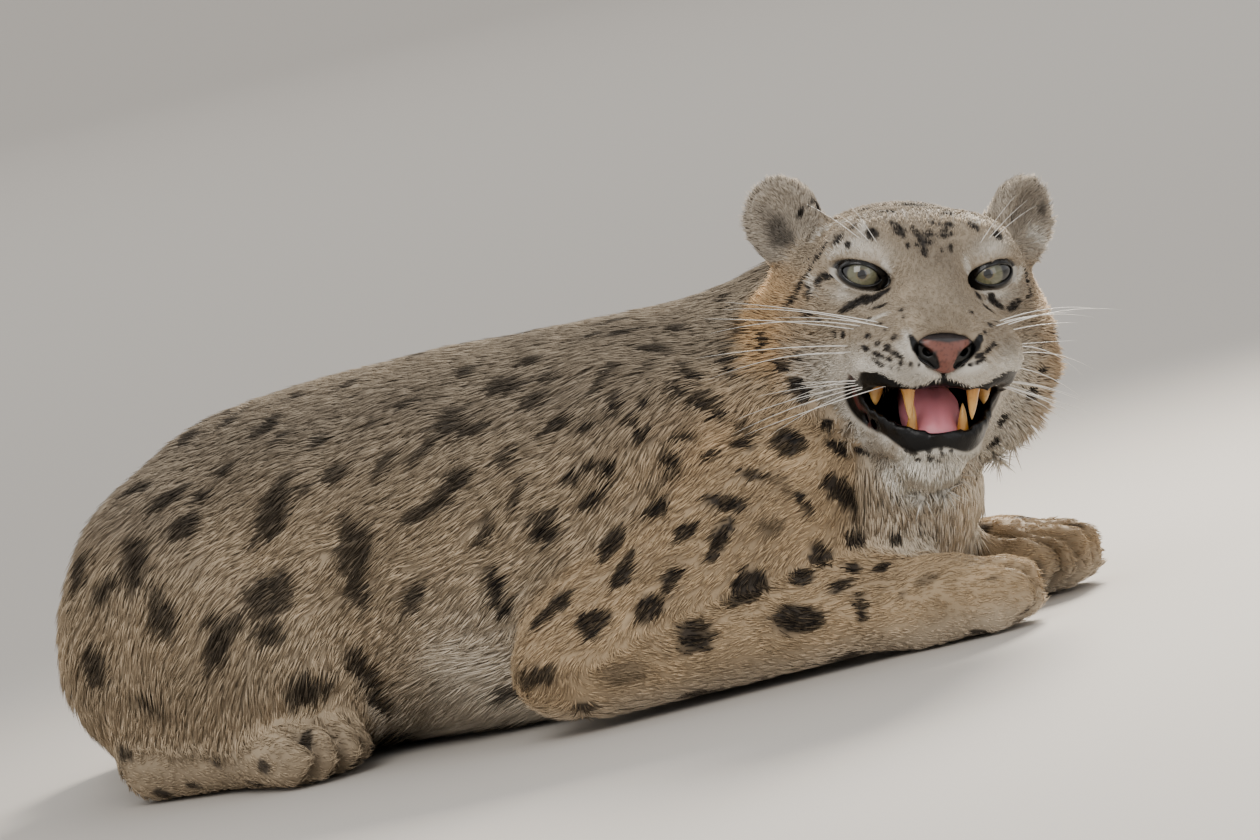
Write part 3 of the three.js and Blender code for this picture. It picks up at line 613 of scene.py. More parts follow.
FACE_SPOTS = [
    (899, 230, 12.8, 2.9, 72), (915, 232, 7.7, 2.1, 80), (872, 233, 6.7, 3.8, 75),
    (854, 227, 6.1, 2.1, -60), (838, 239, 9.3, 3.5, -10), (848, 244, 4, 2.6, 0),
    (824, 247, 9.9, 1.8, -60), (817, 259, 4.1, 3, 30), (811, 268, 9.3, 2.4, -50),
    (800, 287, 14.7, 2.7, -68), (794, 304, 5.7, 4, 0), (808, 261, 4.1, 1.9, -50),
    (826, 276, 10.5, 2.2, 5), (819, 281, 5.1, 2.9, -60), (809, 293, 8.9, 1.9, 60),
    (854, 304, 14.7, 2.6, -22), (876, 297, 14.7, 2.2, -28), (879, 307, 11.5, 1.4, 8),
    (810, 315, 5.7, 2.7, 15), (819, 318, 2.7, 1.9, 20), (804, 356, 7, 3, -30), (835, 334, 2.6, 2.4, 0),
    (843, 335, 3.3, 2.7, 0), (797, 387, 7.3, 4.8, -20), (803, 397, 5.7, 3.5, 80),
    (827, 422, 6.7, 4.8, 60), (794, 437, 8.9, 6.1, 70), (838, 449, 14.7, 4.5, 30),
    (860, 451, 8.3, 3.2, 30), (931, 223, 3, 2.9, 0), (929, 234, 4, 2.9, 80), (931, 243, 2.9, 2.4, 80),
    (944, 234, 4.6, 4.5, 0), (949, 235, 3, 2.4, 80), (949, 225, 4.5, 2.9, 80), (950, 247, 5.7, 2.1, 85),
    (942, 250, 2.2, 1.9, 0), (908, 246, 2.9, 2.6, 0), (917, 246, 2.2, 1.8, 80),
    (922, 241, 9.6, 2.1, 80), (925, 252, 6.4, 1.9, 85), (974, 227, 8.3, 3.2, 60),
    (997, 235, 6.4, 4, 15), (1026, 277, 9.9, 2.6, 50), (1032, 284, 5.1, 2.4, 80),
    (978, 295, 8.3, 2.2, 25), (994, 302, 13.1, 2.9, 15), (1013, 306, 11.5, 3.2, -20),
    (1028, 295, 8.3, 2.2, -70), (988, 309, 8.3, 1.6, 25), (901, 310, 2.7, 2.4, 80),
    (904, 317, 3.7, 1.3, 60), (971, 312, 2.9, 2.2, 80), (1036, 349, 5.7, 3.2, 60),
    (1029, 392, 9.3, 4.5, 70), (1038, 369, 6.7, 2.4, 10), (1002, 419, 8.3, 4, -20),
    (993, 443, 9.9, 4.8, -10), (846, 200, 3.8, 2.9, 0), (863, 202, 6.2, 2.2, -25),
    (874, 203, 6.7, 2.5, -10), (884, 212, 10.3, 2, 12), (867, 211, 8.9, 1.6, -5),
    (948, 214, 4.5, 3.1, -50), (816, 207, 8.5, 3.3, -10), (903, 200, 8.9, 4, 0),
    (921, 202, 13.4, 3.1, 5), (845, 207, 5.8, 2, -20), (954, 202, 8.9, 2.7, 10),
    (746, 254, 15.6, 3.1, 85),
]
WHISKER_SPOTS = [
    (869, 319, 4, 2.4, 0), (880, 324, 2.9, 2.4, 0), (886, 329, 2.4, 2.4, 0), (894, 337, 2.7, 2.4, 0),
    (868, 336, 4.8, 2.6, 35), (878, 343, 3.7, 3.3, 0), (887, 348, 3.3, 3, 0), (897, 355, 7.3, 2.1, 25),
    (865, 348, 6.4, 1.9, 20), (879, 355, 7.3, 1.9, 25), (890, 359, 3, 2.2, 0), (901, 363, 2.9, 2.4, 0),
    (911, 364, 2.1, 1.8, 0), (919, 365, 1.6, 1.3, 0), (879, 363, 7.3, 1.4, 25), (890, 367, 2.7, 1.4, 0),
    (899, 368, 1.6, 1.3, 0), (996, 322, 2.6, 1.6, 90), (990, 325, 2.7, 2.4, 0), (985, 332, 2.7, 2.4, 0),
    (981, 339, 2.4, 2.2, 0), (993, 345, 4.1, 2.1, -50), (988, 350, 4.3, 1.8, -45),
    (980, 355, 5.7, 1.8, -30), (977, 363, 2.7, 1.4, -20), (970, 365, 2.2, 1.4, 0),
    (963, 365, 2.1, 1.3, 0), (982, 360, 3.5, 1.3, -35),
]
CHIN_SPOTS = [
    (913, 453, 5.1, 3.5, 0), (906, 451, 2.9, 1.9, 0), (922, 446, 3.5, 1.6, 0), (929, 451, 3.2, 2.6, 0),
    (930, 457, 6.4, 2.2, 90), (941, 449, 2.4, 2.2, 0), (943, 454, 4.1, 1.9, 60),
    (951, 451, 2.1, 1.6, 0), (902, 446, 2.1, 1.6, 0), (918, 459, 3.8, 1.9, 60),
    (938, 459, 4.1, 1.6, 80),
]
PALE_STROKES = [
    (975, 430, 34, 16, 70), (880, 420, 34, 14, 60),
    (825, 231, 20.5, 3.3, -32), (854, 218, 15.6, 3.3, -22), (863, 227, 11.2, 3.8, 80),
    (843, 249, 18.7, 4.2, -10), (858, 288, 16.1, 3.8, 0), (886, 267, 7.6, 3.6, 60),
    (974, 220, 10.3, 3.3, 55), (968, 267, 9.4, 3.1, 85), (986, 285, 9.8, 4, 0),
    (997, 294, 15.6, 3.1, 10), (1017, 276, 13.4, 4.5, -40), (814, 285, 13.4, 4.9, 50),
    (1037, 240, 13.4, 5.8, 40), (879, 317, 12.8, 4.8, 30), (911, 352, 11.2, 7.3, 30),
    (921, 362, 9.6, 4.1, 15), (957, 359, 9.6, 6.4, -40), (972, 368, 11.2, 3.8, -10),
    (908, 339, 3.2, 9.6, 0),
]


# A spot fades out at this many times its own size. Places are worked out in batches.
SPOT_EDGE = 1.05
BATCH = 8000


class SpotList:
    """The spots on the coat, and painted shade in some folds and hollows, each an ellipse on the surface
    with its darkness.
    """

    def __init__(self):
        self.centres = []
        self.ways = []
        self.normals = []
        self.sizes = []
        self.darkness = []
        self.blur = []

    def add(self, centre, way, normal, half_length, half_width, darkness, blur):
        """Adds a spot that lies along a way on the surface, with its sizes in metres."""
        self.centres.append(tuple(centre))
        self.ways.append(tuple(way))
        self.normals.append(tuple(normal))
        self.sizes.append((half_length, half_width))
        self.darkness.append(darkness)
        self.blur.append(blur)

    def from_pixels(self, rows, darkness, blur, wider=1.0):
        """Adds the spots of a list where its pixels fall on the skin."""
        for x, y, half_length, half_width, angle in rows:
            place, normal, _, _ = skin_tree.ray_cast(eye_point, pixel_ray(x, y))
            if place is None:
                continue
            lean = math.radians(angle)
            way = picture_right * math.cos(lean) - picture_up * math.sin(lean)
            way = (way - normal * way.dot(normal)).normalized()
            sizes = (half_length / PIXELS_PER_METRE, wider * half_width / PIXELS_PER_METRE)
            self.add(place, way, normal, *sizes, darkness, blur)

    def at(self, places):
        """How dark the markings and painted shade are at each place, 0 to 1."""
        centres = np.array(self.centres)
        ways = unit(np.array(self.ways))
        outs = unit(np.array(self.normals))
        across = np.cross(outs, ways)
        sizes = np.array(self.sizes)
        darkness = np.array(self.darkness)
        blur = np.array(self.blur)
        wobble = smooth_noise(places, 0.018, 5) * 0.20 + smooth_noise(places, 0.007, 6) * 0.06
        total = np.zeros(len(places))
        for start in range(0, len(places), BATCH):
            part = places[start:start + BATCH]
            a = part @ ways.T - np.sum(centres * ways, 1)
            b = part @ across.T - np.sum(centres * across, 1)
            c = part @ outs.T - np.sum(centres * outs, 1)
            r = np.sqrt((a / sizes[:, 0]) ** 2 + (b / sizes[:, 1]) ** 2 + (c / (sizes[:, 0] + 0.012)) ** 2)
            r = r + wobble[start:start + BATCH, None]
            mark_and_shade = darkness * (1 - ramp(r, SPOT_EDGE - blur, SPOT_EDGE + blur))
            total[start:start + BATCH] = mark_and_shade.max(axis=1)
        return total


spots_and_shade = SpotList()
spots_and_shade.from_pixels(FOREQUARTER_SPOTS, 0.94, 0.16)
spots_and_shade.from_pixels(NECK_SPOTS, 0.82, 0.25)
spots_and_shade.from_pixels(EAR_HOLLOW_SHADE, 0.72, 0.60, 1.3)
spots_and_shade.from_pixels(FAINT_SPOTS_AND_FOLD_SHADE, 0.55, 0.30)
spots_and_shade.from_pixels(HAUNCH_SPOTS_AND_KNEE_SHADE, 0.84, 0.24)
spots_and_shade.from_pixels(BACK_SPOTS, 0.80, 0.28)
spots_and_shade.from_pixels(FLANK_SPOTS, 0.86, 0.22)
spots_and_shade.from_pixels(FACE_SPOTS, 1.0, 0.25, 1.55)
spots_and_shade.from_pixels(WHISKER_SPOTS, 1.0, 0.25, 1.4)
spots_and_shade.from_pixels(CHIN_SPOTS, 0.9, 0.25, 1.3)
pale_strokes = SpotList()
pale_strokes.from_pixels(PALE_STROKES, 0.65, 0.45)

# Spots on the hidden sides keep a set distance from each other and from those above.
TRIES = 14000
RING_GAP = 0.062
LIMB_SPOT_GAP = 0.034
HEAD_SPOT_GAP = 0.026
SHOWN_GAP = 0.05
draw = np.random.default_rng(21)
shown = np.array(spots_and_shade.centres)
taken = [np.array(c) for c in spots_and_shade.centres]
ring_centres = []
for i in draw.permutation(count)[:TRIES]:
    name = names[i]
    if name == "head" and local[i, 0] > 20:
        continue
    big = name in ("torso", "hindleg_left", "hindleg_right", "neck")
    gap = RING_GAP if big else LIMB_SPOT_GAP
    if name == "head":
        gap = HEAD_SPOT_GAP
    place = points[i]
    if place[2] < 0.004 or name.startswith(("tail", "ear")):
        continue
    if normals[i] @ np.array(look) < -0.25 and np.min(np.linalg.norm(shown - place, axis=1)) < SHOWN_GAP:
        continue
    if np.min(np.linalg.norm(np.array(taken) - place, axis=1)) < gap:
        continue
    taken.append(place)
    ring_centres.append((i, big))
for i, big in ring_centres:
    place, normal = points[i], normals[i]
    way = unit(lie[i] - normal * (lie[i] @ normal))
    across = np.cross(normal, way)
    if not big:
        size = draw.uniform(0.0080, 0.0115)
        if names[i].startswith(("forepaw", "hindfoot")):
            size *= 0.6
        spots_and_shade.add(place, way, normal, size * 1.3, size * 0.8, 0.85, 0.3)
        continue
    radius = draw.uniform(0.015, 0.020)
    start = draw.uniform(0, 6.28)
    pieces = draw.integers(3, 6)
    for k in range(pieces):
        angle = start + 6.28 * k / pieces + draw.uniform(-0.2, 0.2)
        offset = way * math.cos(angle) * radius * 1.25 + across * math.sin(angle) * radius
        tangent = -way * math.sin(angle) + across * math.cos(angle)
        spots_and_shade.add(place + offset, tangent, normal, 0.0125, 0.0070, 0.82, 0.30)

# The tail has dark bars over its top, each of three spots side by side.
BAR_COUNT = 15
BAR_LEANS = (-0.9, 0.0, 0.9)
TAIL_RADIUS = 0.036
for share in np.linspace(0.08, 0.98, BAR_COUNT):
    at = share * (len(TAIL_LINE) - 1)
    i = min(int(at), len(TAIL_LINE) - 2)
    middle = TAIL_LINE[i] * (1 - at + i) + TAIL_LINE[i + 1] * (at - i)
    run = unit(TAIL_LINE[i + 1] - TAIL_LINE[i])
    side = unit(np.cross(np.array((0, 0, 1.0)), run))
    for lean in BAR_LEANS:
        out = side * math.sin(lean) + np.array((0, 0, 1.0)) * math.cos(lean)
        spots_and_shade.add(middle + out * TAIL_RADIUS, np.cross(out, run), out, 0.024, 0.0105, 0.75, 0.35)


# Colours of the coat without its markings.
BACK_GREY = np.array(rgb(137, 126, 111))
FLANK_TAN = np.array(rgb(180, 161, 135))
BELLY_CREAM = np.array(rgb(230, 218, 199))
LEG_BUFF = np.array(rgb(184, 159, 126))
FACE_GREY = np.array(rgb(168, 153, 133))
CHEEK_TAN = np.array(rgb(204, 166, 119))
WHITE_FUR = np.array(rgb(240, 235, 224))
CHARCOAL = np.array(rgb(34, 30, 28))
EAR_GREY = np.array(rgb(176, 165, 150))
EAR_DARK = np.array(rgb(50, 45, 41))


def mixed(base, other, amount):
    """Two colours mixed point by point."""
    return base + (other - base) * np.asarray(amount)[:, None]


def base_colour(places, outward, node_names):
    """The ground colour of the coat at each place: heights in metres, the head in mm."""
    at_head = to_head(places)
    colour = np.tile(FLANK_TAN, (len(places), 1))
    high = ramp(places[:, 2], 0.10, 0.235) * ramp(outward[:, 2], 0.0, 0.8)
    colour = mixed(colour, BACK_GREY, 0.85 * high)
    low = ramp(0.075 - places[:, 2], 0, 0.06)
    trunk = node_names == "torso"
    fringe_place = np.exp(-((places[:, 0] + 0.135) / 0.045) ** 2) * ramp(0.13 - places[:, 2], 0, 0.09)
    colour = mixed(colour, BELLY_CREAM, np.maximum(0.85 * low, 0.8 * fringe_place) * trunk)
    legs = np.char.startswith(node_names, "upper_arm") | np.char.startswith(node_names, "fore")
    colour = mixed(colour, LEG_BUFF, 0.85 * legs)
    colour = mixed(colour, BELLY_CREAM, 0.6 * legs * ramp(0.03 - places[:, 2], 0, 0.03))
    # Painted shade in the grooves between the toes.
    colour = mixed(colour, CHARCOAL, 0.45 * toe_groove)
    throat = (trunk | (node_names == "neck")) * ramp(places[:, 0], 0.09, 0.17)
    throat = throat * ramp(0.2 - places[:, 2], 0, 0.06)
    colour = mixed(colour, BELLY_CREAM, 0.75 * throat)
    collar = (trunk | (node_names == "neck")) * np.exp(-((places[:, 0] - 0.06) / 0.06) ** 2) * (1 - throat)
    colour = mixed(colour, CHEEK_TAN, 0.5 * collar * ramp(0.22 - places[:, 2], 0, 0.08))
    head = (node_names == "head") * 1.0
    colour = mixed(colour, FACE_GREY, head)
    side = np.abs(at_head[:, 1])
    rim = head * ramp(side, 62, 92) * ramp(30 - at_head[:, 2], 0, 30) * ramp(at_head[:, 2] + 128, 0, 40)
    colour = mixed(colour, CHEEK_TAN, 0.8 * rim * np.where(at_head[:, 1] < 0, 1.0, 0.35))
    cheek_white = head * ramp(side, 24, 44) * ramp(90 - side, 0, 30) * ramp(-28 - at_head[:, 2], 0, 22)
    colour = mixed(colour, WHITE_FUR, 0.55 * cheek_white)
    pads = head * ramp(at_head[:, 0], 88, 104) * ramp(-40 - at_head[:, 2], 0, 12)
    colour = mixed(colour, WHITE_FUR, 0.6 * pads)
    chin = head * ramp(31 - side, 0, 8) * ramp(-101 - at_head[:, 2], 0, 5) * ramp(at_head[:, 0], 20, 48)
    colour = mixed(colour, WHITE_FUR, chin)
    crown = head * ramp(at_head[:, 2], 34, 54) * ramp(at_head[:, 0] + 50, 0, 40)
    colour = mixed(colour, BACK_GREY * 0.66, 0.75 * crown)
    bridge = head * ramp(20 - side, 0, 10) * ramp(at_head[:, 0], 58, 90) * ramp(at_head[:, 2] + 48, 0, 10)
    colour = mixed(colour, FACE_GREY * 0.72, 0.8 * bridge)
    for side_sign in (-1, 1):
        centre, forward, outward_way, upward = eye_frame(side_sign)
        offset = at_head - centre
        u, v = offset @ outward_way, offset @ upward
        brow = np.exp(-((u - 2) / 16) ** 2 - ((v - 17) / 6) ** 2) * head * (offset @ forward > -10)
        under = np.exp(-((u - 2) / 15) ** 2 - ((v + 15) / 5) ** 2) * head * (offset @ forward > -10)
        colour = mixed(colour, WHITE_FUR, 0.55 * brow + 0.4 * under)
    ears = np.char.startswith(node_names, "ear")
    ear_back = ears * ramp(-(outward @ head_axes)[:, 0], 0.0, 0.5)
    colour = mixed(colour, EAR_GREY, ears)
    colour = mixed(colour, EAR_DARK, 0.8 * ear_back)
    tails = np.char.startswith(node_names, "tail")
    colour = mixed(colour, BELLY_CREAM, tails * (0.55 * ramp(0.05 - places[:, 2], 0, 0.04)))
    patch = smooth_noise(places, 0.06, 11) * 0.10 + smooth_noise(places, 0.02, 12) * 0.06
    return colour * (1 + patch)[:, None]


# Black lips and the dark of the mouth, as distances in the head's frame. The upper lip
# hangs lower under each whisker pad than in the middle and at the corners.
LIP_TOP = -60.0
LIP_SAG = 6.0
LIP_HALF_WIDTH = 47.0
LIP_FALL = 38.0


def lip_amount(at_head):
    """1 on the lips and inside the mouth, 0 on the fur."""
    across = at_head[:, 1] / (LIP_HALF_WIDTH + 4.5)
    sag = LIP_SAG * np.exp(-((np.abs(at_head[:, 1]) - 20) / 12) ** 2)
    fall = LIP_TOP - sag - at_head[:, 2]
    inside_low = np.hypot(across, np.clip(fall, 0, 99) / (LIP_FALL + 3.2))
    low = ramp(1.06 - inside_low, 0, 0.05) * (fall > 0)
    corner = 4.0 * ramp(np.abs(at_head[:, 1]), 30, 44)
    top_band = ramp(2.6 + corner - np.abs(fall + 1), 0, 1.6) * ramp(1.04 - np.abs(across), 0, 0.05)
    groove_band = ramp(2.4 - np.abs(at_head[:, 1]), 0, 1) * ramp(-46 - at_head[:, 2], 0, 3) * (fall < 4)
    return np.maximum(np.maximum(low, top_band), groove_band) * ramp(at_head[:, 0], 8, 20)


# Each nostril is a comma that runs out and up beside the pad, painted black as the shade in its opening.
NOSTRIL_LINE = [
    (23.0, -31.0, 2.2), (19.5, -38.0, 4.2), (14.0, -42.5, 5.0), (9.5, -46.0, 3.8), (6.5, -50.0, 2.4),
]


def nostril_amount(at_head):
    """1 in the nostrils and 0 outside them."""
    side = np.abs(at_head[:, 1])
    best = np.full(len(at_head), 9.0)
    for (y0, z0, r0), (y1, z1, r1) in zip(NOSTRIL_LINE, NOSTRIL_LINE[1:]):
        for t in (0.0, 0.25, 0.5, 0.75, 1.0):
            y, z, r = y0 + (y1 - y0) * t, z0 + (z1 - z0) * t, r0 + (r1 - r0) * t
            best = np.minimum(best, np.hypot(side - y, at_head[:, 2] - z) / r)
    return (1 - ramp(best, 0.65, 1.05)) * ramp(at_head[:, 0], 84, 96)


MOUTH_DARK_AND_NOSTRIL_SHADE = np.array(rgb(11, 9, 9))
THROAT_RED = np.array(rgb(112, 34, 34))
ground = softened(base_colour(points, normals, names), 3)
ground = mixed(ground, WHITE_FUR, pale_strokes.at(points))
# How dark the markings and painted shade make each point of the skin.
marks_and_shade = spots_and_shade.at(points)
mouth = np.maximum(lip_amount(local), nostril_amount(local)) * on_head
skin_colour = mixed(ground * 0.75, CHARCOAL, marks_and_shade)
inner = mouth * (normals @ (head_axes @ np.array((1.0, 0, 0))) < 0.25)
# The lips and the mouth are painted black, and the nostrils black as painted shade in their openings.
skin_colour = mixed(skin_colour, MOUTH_DARK_AND_NOSTRIL_SHADE, mouth)
skin_colour = mixed(skin_colour, THROAT_RED, 0.8 * inner * ramp(70 - local[:, 0], 0, 30))


def colour_layer(mesh, name, colours, alpha):
    """Stores a colour and a mask for each point."""
    layer = mesh.color_attributes.new(name, "FLOAT_COLOR", "POINT")
    data = np.concatenate((np.clip(colours, 0, 1), np.asarray(alpha)[:, None]), axis=1)
    layer.data.foreach_set("color", data.astype(np.float32).ravel())


colour_layer(skin_mesh, "tint", skin_colour, mouth)
shade_smooth(skin_mesh)
skin = add_object("skin", skin_mesh)
bpy.context.view_layer.objects.active = skin
skin.select_set(True)
bpy.ops.object.mode_set(mode="EDIT")
bpy.ops.mesh.select_all(action="SELECT")
bpy.ops.uv.smart_project(angle_limit=math.radians(70), island_margin=0.002)
bpy.ops.object.mode_set(mode="OBJECT")
skin.select_set(False)

# The skin is thinned where the coat hides it, and stays fine at the eyes, mouth and toes.
SKIN_SHARE = 0.64
WEIGHT_STEPS = 10
fine_places = np.maximum(np.maximum(mouth, toe_groove), on_head * ramp(1.9 - eye_reach, 0, 0.2))
hidden = 1 - np.clip(2 * softened(fine_places, 4), 0, 1)
hidden_group = skin.vertex_groups.new(name="hidden")
for step in range(WEIGHT_STEPS + 1):
    chosen = np.flatnonzero(np.round(hidden * WEIGHT_STEPS) == step)
    hidden_group.add(chosen.tolist(), step / WEIGHT_STEPS, "REPLACE")
thinner = skin.modifiers.new("thinner", "DECIMATE")
thinner.ratio = SKIN_SHARE
thinner.vertex_group = "hidden"
thinner.vertex_group_factor = 100
thin_mesh = with_modifiers(skin)
skin.modifiers.clear()
skin.data = thin_mesh
skin.vertex_groups.clear()


def tint_material(name, roughness, grain_size, grain_depth):
    """A coat or skin finish: the stored colour, a fine strand grain and a soft roughness."""
    material, nodes, links, shader = principled(name, (0.5, 0.5, 0.5), roughness)
    tint = nodes.new("ShaderNodeAttribute")
    tint.attribute_name = "tint"
    links.new(tint.outputs["Color"], shader.inputs["Base Color"])
    place = nodes.new("ShaderNodeTexCoord")
    grain = nodes.new("ShaderNodeTexNoise")
    grain.inputs["Scale"].default_value = grain_size
    grain.inputs["Detail"].default_value = 3
    links.new(place.outputs["Object"], grain.inputs["Vector"])
    bump = nodes.new("ShaderNodeBump")
    bump.inputs["Strength"].default_value = 0.5
    bump.inputs["Distance"].default_value = grain_depth
    links.new(grain.outputs["Fac"], bump.inputs["Height"])
    links.new(bump.outputs["Normal"], shader.inputs["Normal"])
    return material, nodes, links, shader, tint


skin_finish, skin_nodes, skin_links, skin_shader, skin_tint = tint_material("skin_finish", 0.7, 700, 0.0006)
vary_roughness(skin_nodes, skin_links, skin_shader, skin_tint.outputs["Alpha"], 0.75, 0.32)
skin_shader.inputs["Specular IOR Level"].default_value = 0.3
thin_mesh.materials.append(skin_finish)
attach(skin, "root")
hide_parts(*flesh_nodes)

# Coat. The fur is made of tufts, each a thin closed spindle of six faces with its root
# in the skin, that lie along the body, bend down to it and draw together in small
# clumps. Every piece carries the skin's markings and painted shade, and an OFBake map by its roots.
ROOT_DEPTH = 0.0012
LOWEST_HAIR = 0.0006
TUFTS_IN_CLUMP = 14
BEND_SHARE = 0.42
TIP_SHARE = 0.58
SWAY = 0.18

# A tuft's points are its root, three round its bend and its tip. They get a small patch
# of the map, and the most tufts in a piece keep it under 200,000 triangles.
TUFT_POINTS = 5
MOST_TUFTS = 33200
TUFT_FACES = np.array([(0, 2, 1), (0, 3, 2), (0, 1, 3), (4, 1, 2), (4, 2, 3), (4, 3, 1)])
TUFT_PATCH = np.array([(0.0, 0.0), (0.0012, 0.0012), (0.0, 0.0016), (-0.0012, 0.0012), (0.0, 0.003)])
skin_mesh.calc_loop_triangles()
triangle_loops = np.zeros(len(skin_mesh.loop_triangles) * 3, int)
skin_mesh.loop_triangles.foreach_get("loops", triangle_loops)
skin_map = np.zeros(len(skin_mesh.loops) * 2)
skin_mesh.uv_layers.active.data.foreach_get("uv", skin_map)
triangle_map = skin_map.reshape(-1, 2)[triangle_loops].reshape(-1, 3, 2)
first, second, third = points[triangles].transpose(1, 0, 2)
triangle_area = np.linalg.norm(np.cross(second - first, third - first), axis=1)
fur_finish, _, _, fur_shader, _ = tint_material("fur_finish", 0.78, 900, 0.0002)
fur_shader.inputs["Specular IOR Level"].default_value = 0.18


def add_piece(name, mesh, finish, slot_name, *replaced):
    """A finished piece that rides with the body and stands for the nodes named."""
    mesh.materials.append(finish)
    piece = add_object(name, mesh)
    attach(piece, "root")
    if replaced:
        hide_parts(*replaced)


def coat_piece(name, weights, number, seed):
    """A piece of the coat with its tufts spread by weight over the skin."""
    draw = np.random.default_rng(seed)
    chance = triangle_area * weights[triangles].mean(axis=1)
    picked = draw.choice(len(triangles), number, p=chance / chance.sum())
    share = draw.dirichlet((1, 1, 1), number)[:, :, None]

    def at_roots(values):
        """The values of the skin's points at each tuft's root."""
        return np.sum(values[triangles[picked]].reshape(number, 3, -1) * share, axis=1)

    root = at_roots(points)
    out = unit(at_roots(normals))
    way = unit(at_roots(lie))
    spread = np.stack([smooth_noise(root, 0.05, seed + k) for k in range(3)], axis=1)
    way = way + SWAY * spread + draw.normal(0, 0.08, (number, 3))
    way = unit(way - out * np.sum(way * out, axis=1, keepdims=True))
    long, wide, up = (at_roots(v) for v in (length, width, lift))
    long = long * draw.uniform(0.65, 1.18, (number, 1)) / 1000
    wide = wide * draw.uniform(0.6, 1.0, (number, 1)) / 1000
    up = np.radians(up) * draw.uniform(0.4, 1.15, (number, 1))

    # Each tuft leans towards the root of the nearest clump's middle tuft.
    clumps = draw.permutation(number)[:number // TUFTS_IN_CLUMP]
    tree = KDTree(len(clumps))
    for k, clump in enumerate(clumps):
        tree.insert(root[clump], k)
    tree.balance()
    nearest = clumps[[tree.find(p)[1] for p in root]]
    pull = root[nearest] - root
    pull = pull * np.minimum(1, long / np.maximum(np.linalg.norm(pull, axis=1, keepdims=True) * 1.5, 1e-6))
    first = way * np.cos(1.3 * up) + out * np.sin(1.3 * up)
    second = way * np.cos(0.45 * up) + out * np.sin(0.45 * up)
    bend = root + first * long * BEND_SHARE
    middle = bend + pull * 0.22
    tip = bend + second * long * TIP_SHARE + pull * 0.45
    side = unit(np.cross(first, out)) * wide * 0.5
    top = out * wide * 0.4
    foot_of_tuft = root - out * ROOT_DEPTH
    tufts = np.stack((foot_of_tuft, middle + side, middle + top, middle - side, tip), axis=1)
    tufts[:, :, 2] = np.maximum(tufts[:, :, 2], LOWEST_HAIR)

    # A tuft is darker at its root and lighter at its tip, and a little unlike its neighbours.
    # Each tuft takes the markings and painted shade at its middle.
    mark_and_shade = spots_and_shade.at(root + first * long * 0.45)
    shade = draw.normal(1.0, 0.07, (number, 1))
    base = at_roots(ground) * shade
    dark = np.clip(mark_and_shade * draw.uniform(0.85, 1.1, number), 0, 1)
    hair = mixed(base, CHARCOAL * shade, dark)
    light = hair * (1.12 - 0.06 * dark[:, None])
    colours = np.stack((hair * 0.84, hair, hair, hair, light), axis=1)
    faces = (TUFT_FACES[None] + TUFT_POINTS * np.arange(number)[:, None, None]).reshape(-1, 3)
    root_map = np.sum(triangle_map[picked] * share, axis=1)
    patches = root_map[:, None] + TUFT_PATCH[None]

    mesh = bpy.data.meshes.new(name)
    mesh.vertices.add(number * TUFT_POINTS)
    mesh.vertices.foreach_set("co", tufts.astype(np.float32).ravel())
    mesh.loops.add(len(faces) * 3)
    mesh.loops.foreach_set("vertex_index", faces.ravel())
    mesh.polygons.add(len(faces))
    mesh.polygons.foreach_set("loop_start", np.arange(0, len(faces) * 3, 3))
    mesh.polygons.foreach_set("use_smooth", np.ones(len(faces), bool))
    mesh.update(calc_edges=True)
    colour_layer(mesh, "tint", colours.reshape(-1, 3), np.zeros(number * TUFT_POINTS))
    bake_map = mesh.uv_layers.new(name="OFBake")
    bake_map.data.foreach_set("uv", patches.reshape(-1, 2)[faces.ravel()].astype(np.float32).ravel())
    add_piece(name, mesh, fur_finish, "coat")


# No tufts grow on the lips, the lids and the nose, and few under the feet and the body.
bare = np.maximum(mouth, ramp(1.56 - eye_reach, 0, 0.1))
nose_pad = on_head * ramp(local[:, 0], 104, 106) * ramp(23 - np.abs(local[:, 1]), 0, 2)
nose_pad = nose_pad * ramp(local[:, 2] + 55, 0, 3) * ramp(-27 - local[:, 2], 0, 3)
bare = np.maximum(bare, nose_pad)
density = (1 - bare) * np.where(points[:, 2] < 0.003, 0.05, 1.0)
face_share = on_head * ramp(local[:, 0], 8, 26)
is_neck = (names == "neck") | (torso & (points[:, 0] > 0.04))
is_back = torso & ~is_neck & (points[:, 2] > 0.150)
is_flank = torso & ~is_neck & ~is_back
is_foreleg = np.char.startswith(names, "upper_arm") | np.char.startswith(names, "fore")
is_haunch = np.char.startswith(names, "hind")
fringe = 1 + 1.2 * low_side
coat_piece("coat_face", density * face_share * (1 + muzzle), MOST_TUFTS, 101)
coat_piece("coat_cheeks", density * (on_head * (1 - face_share) + on_ear * 1.8), MOST_TUFTS, 102)
coat_piece("coat_neck", density * is_neck, MOST_TUFTS, 103)
coat_piece("coat_back", density * is_back, MOST_TUFTS, 104)
coat_piece("coat_flank", density * is_flank * fringe, MOST_TUFTS, 105)
coat_piece("coat_haunches", density * is_haunch, 30000, 106)
coat_piece("coat_forelegs", density * is_foreleg, MOST_TUFTS, 107)
coat_piece("coat_tail", density * tail, 19000, 108)

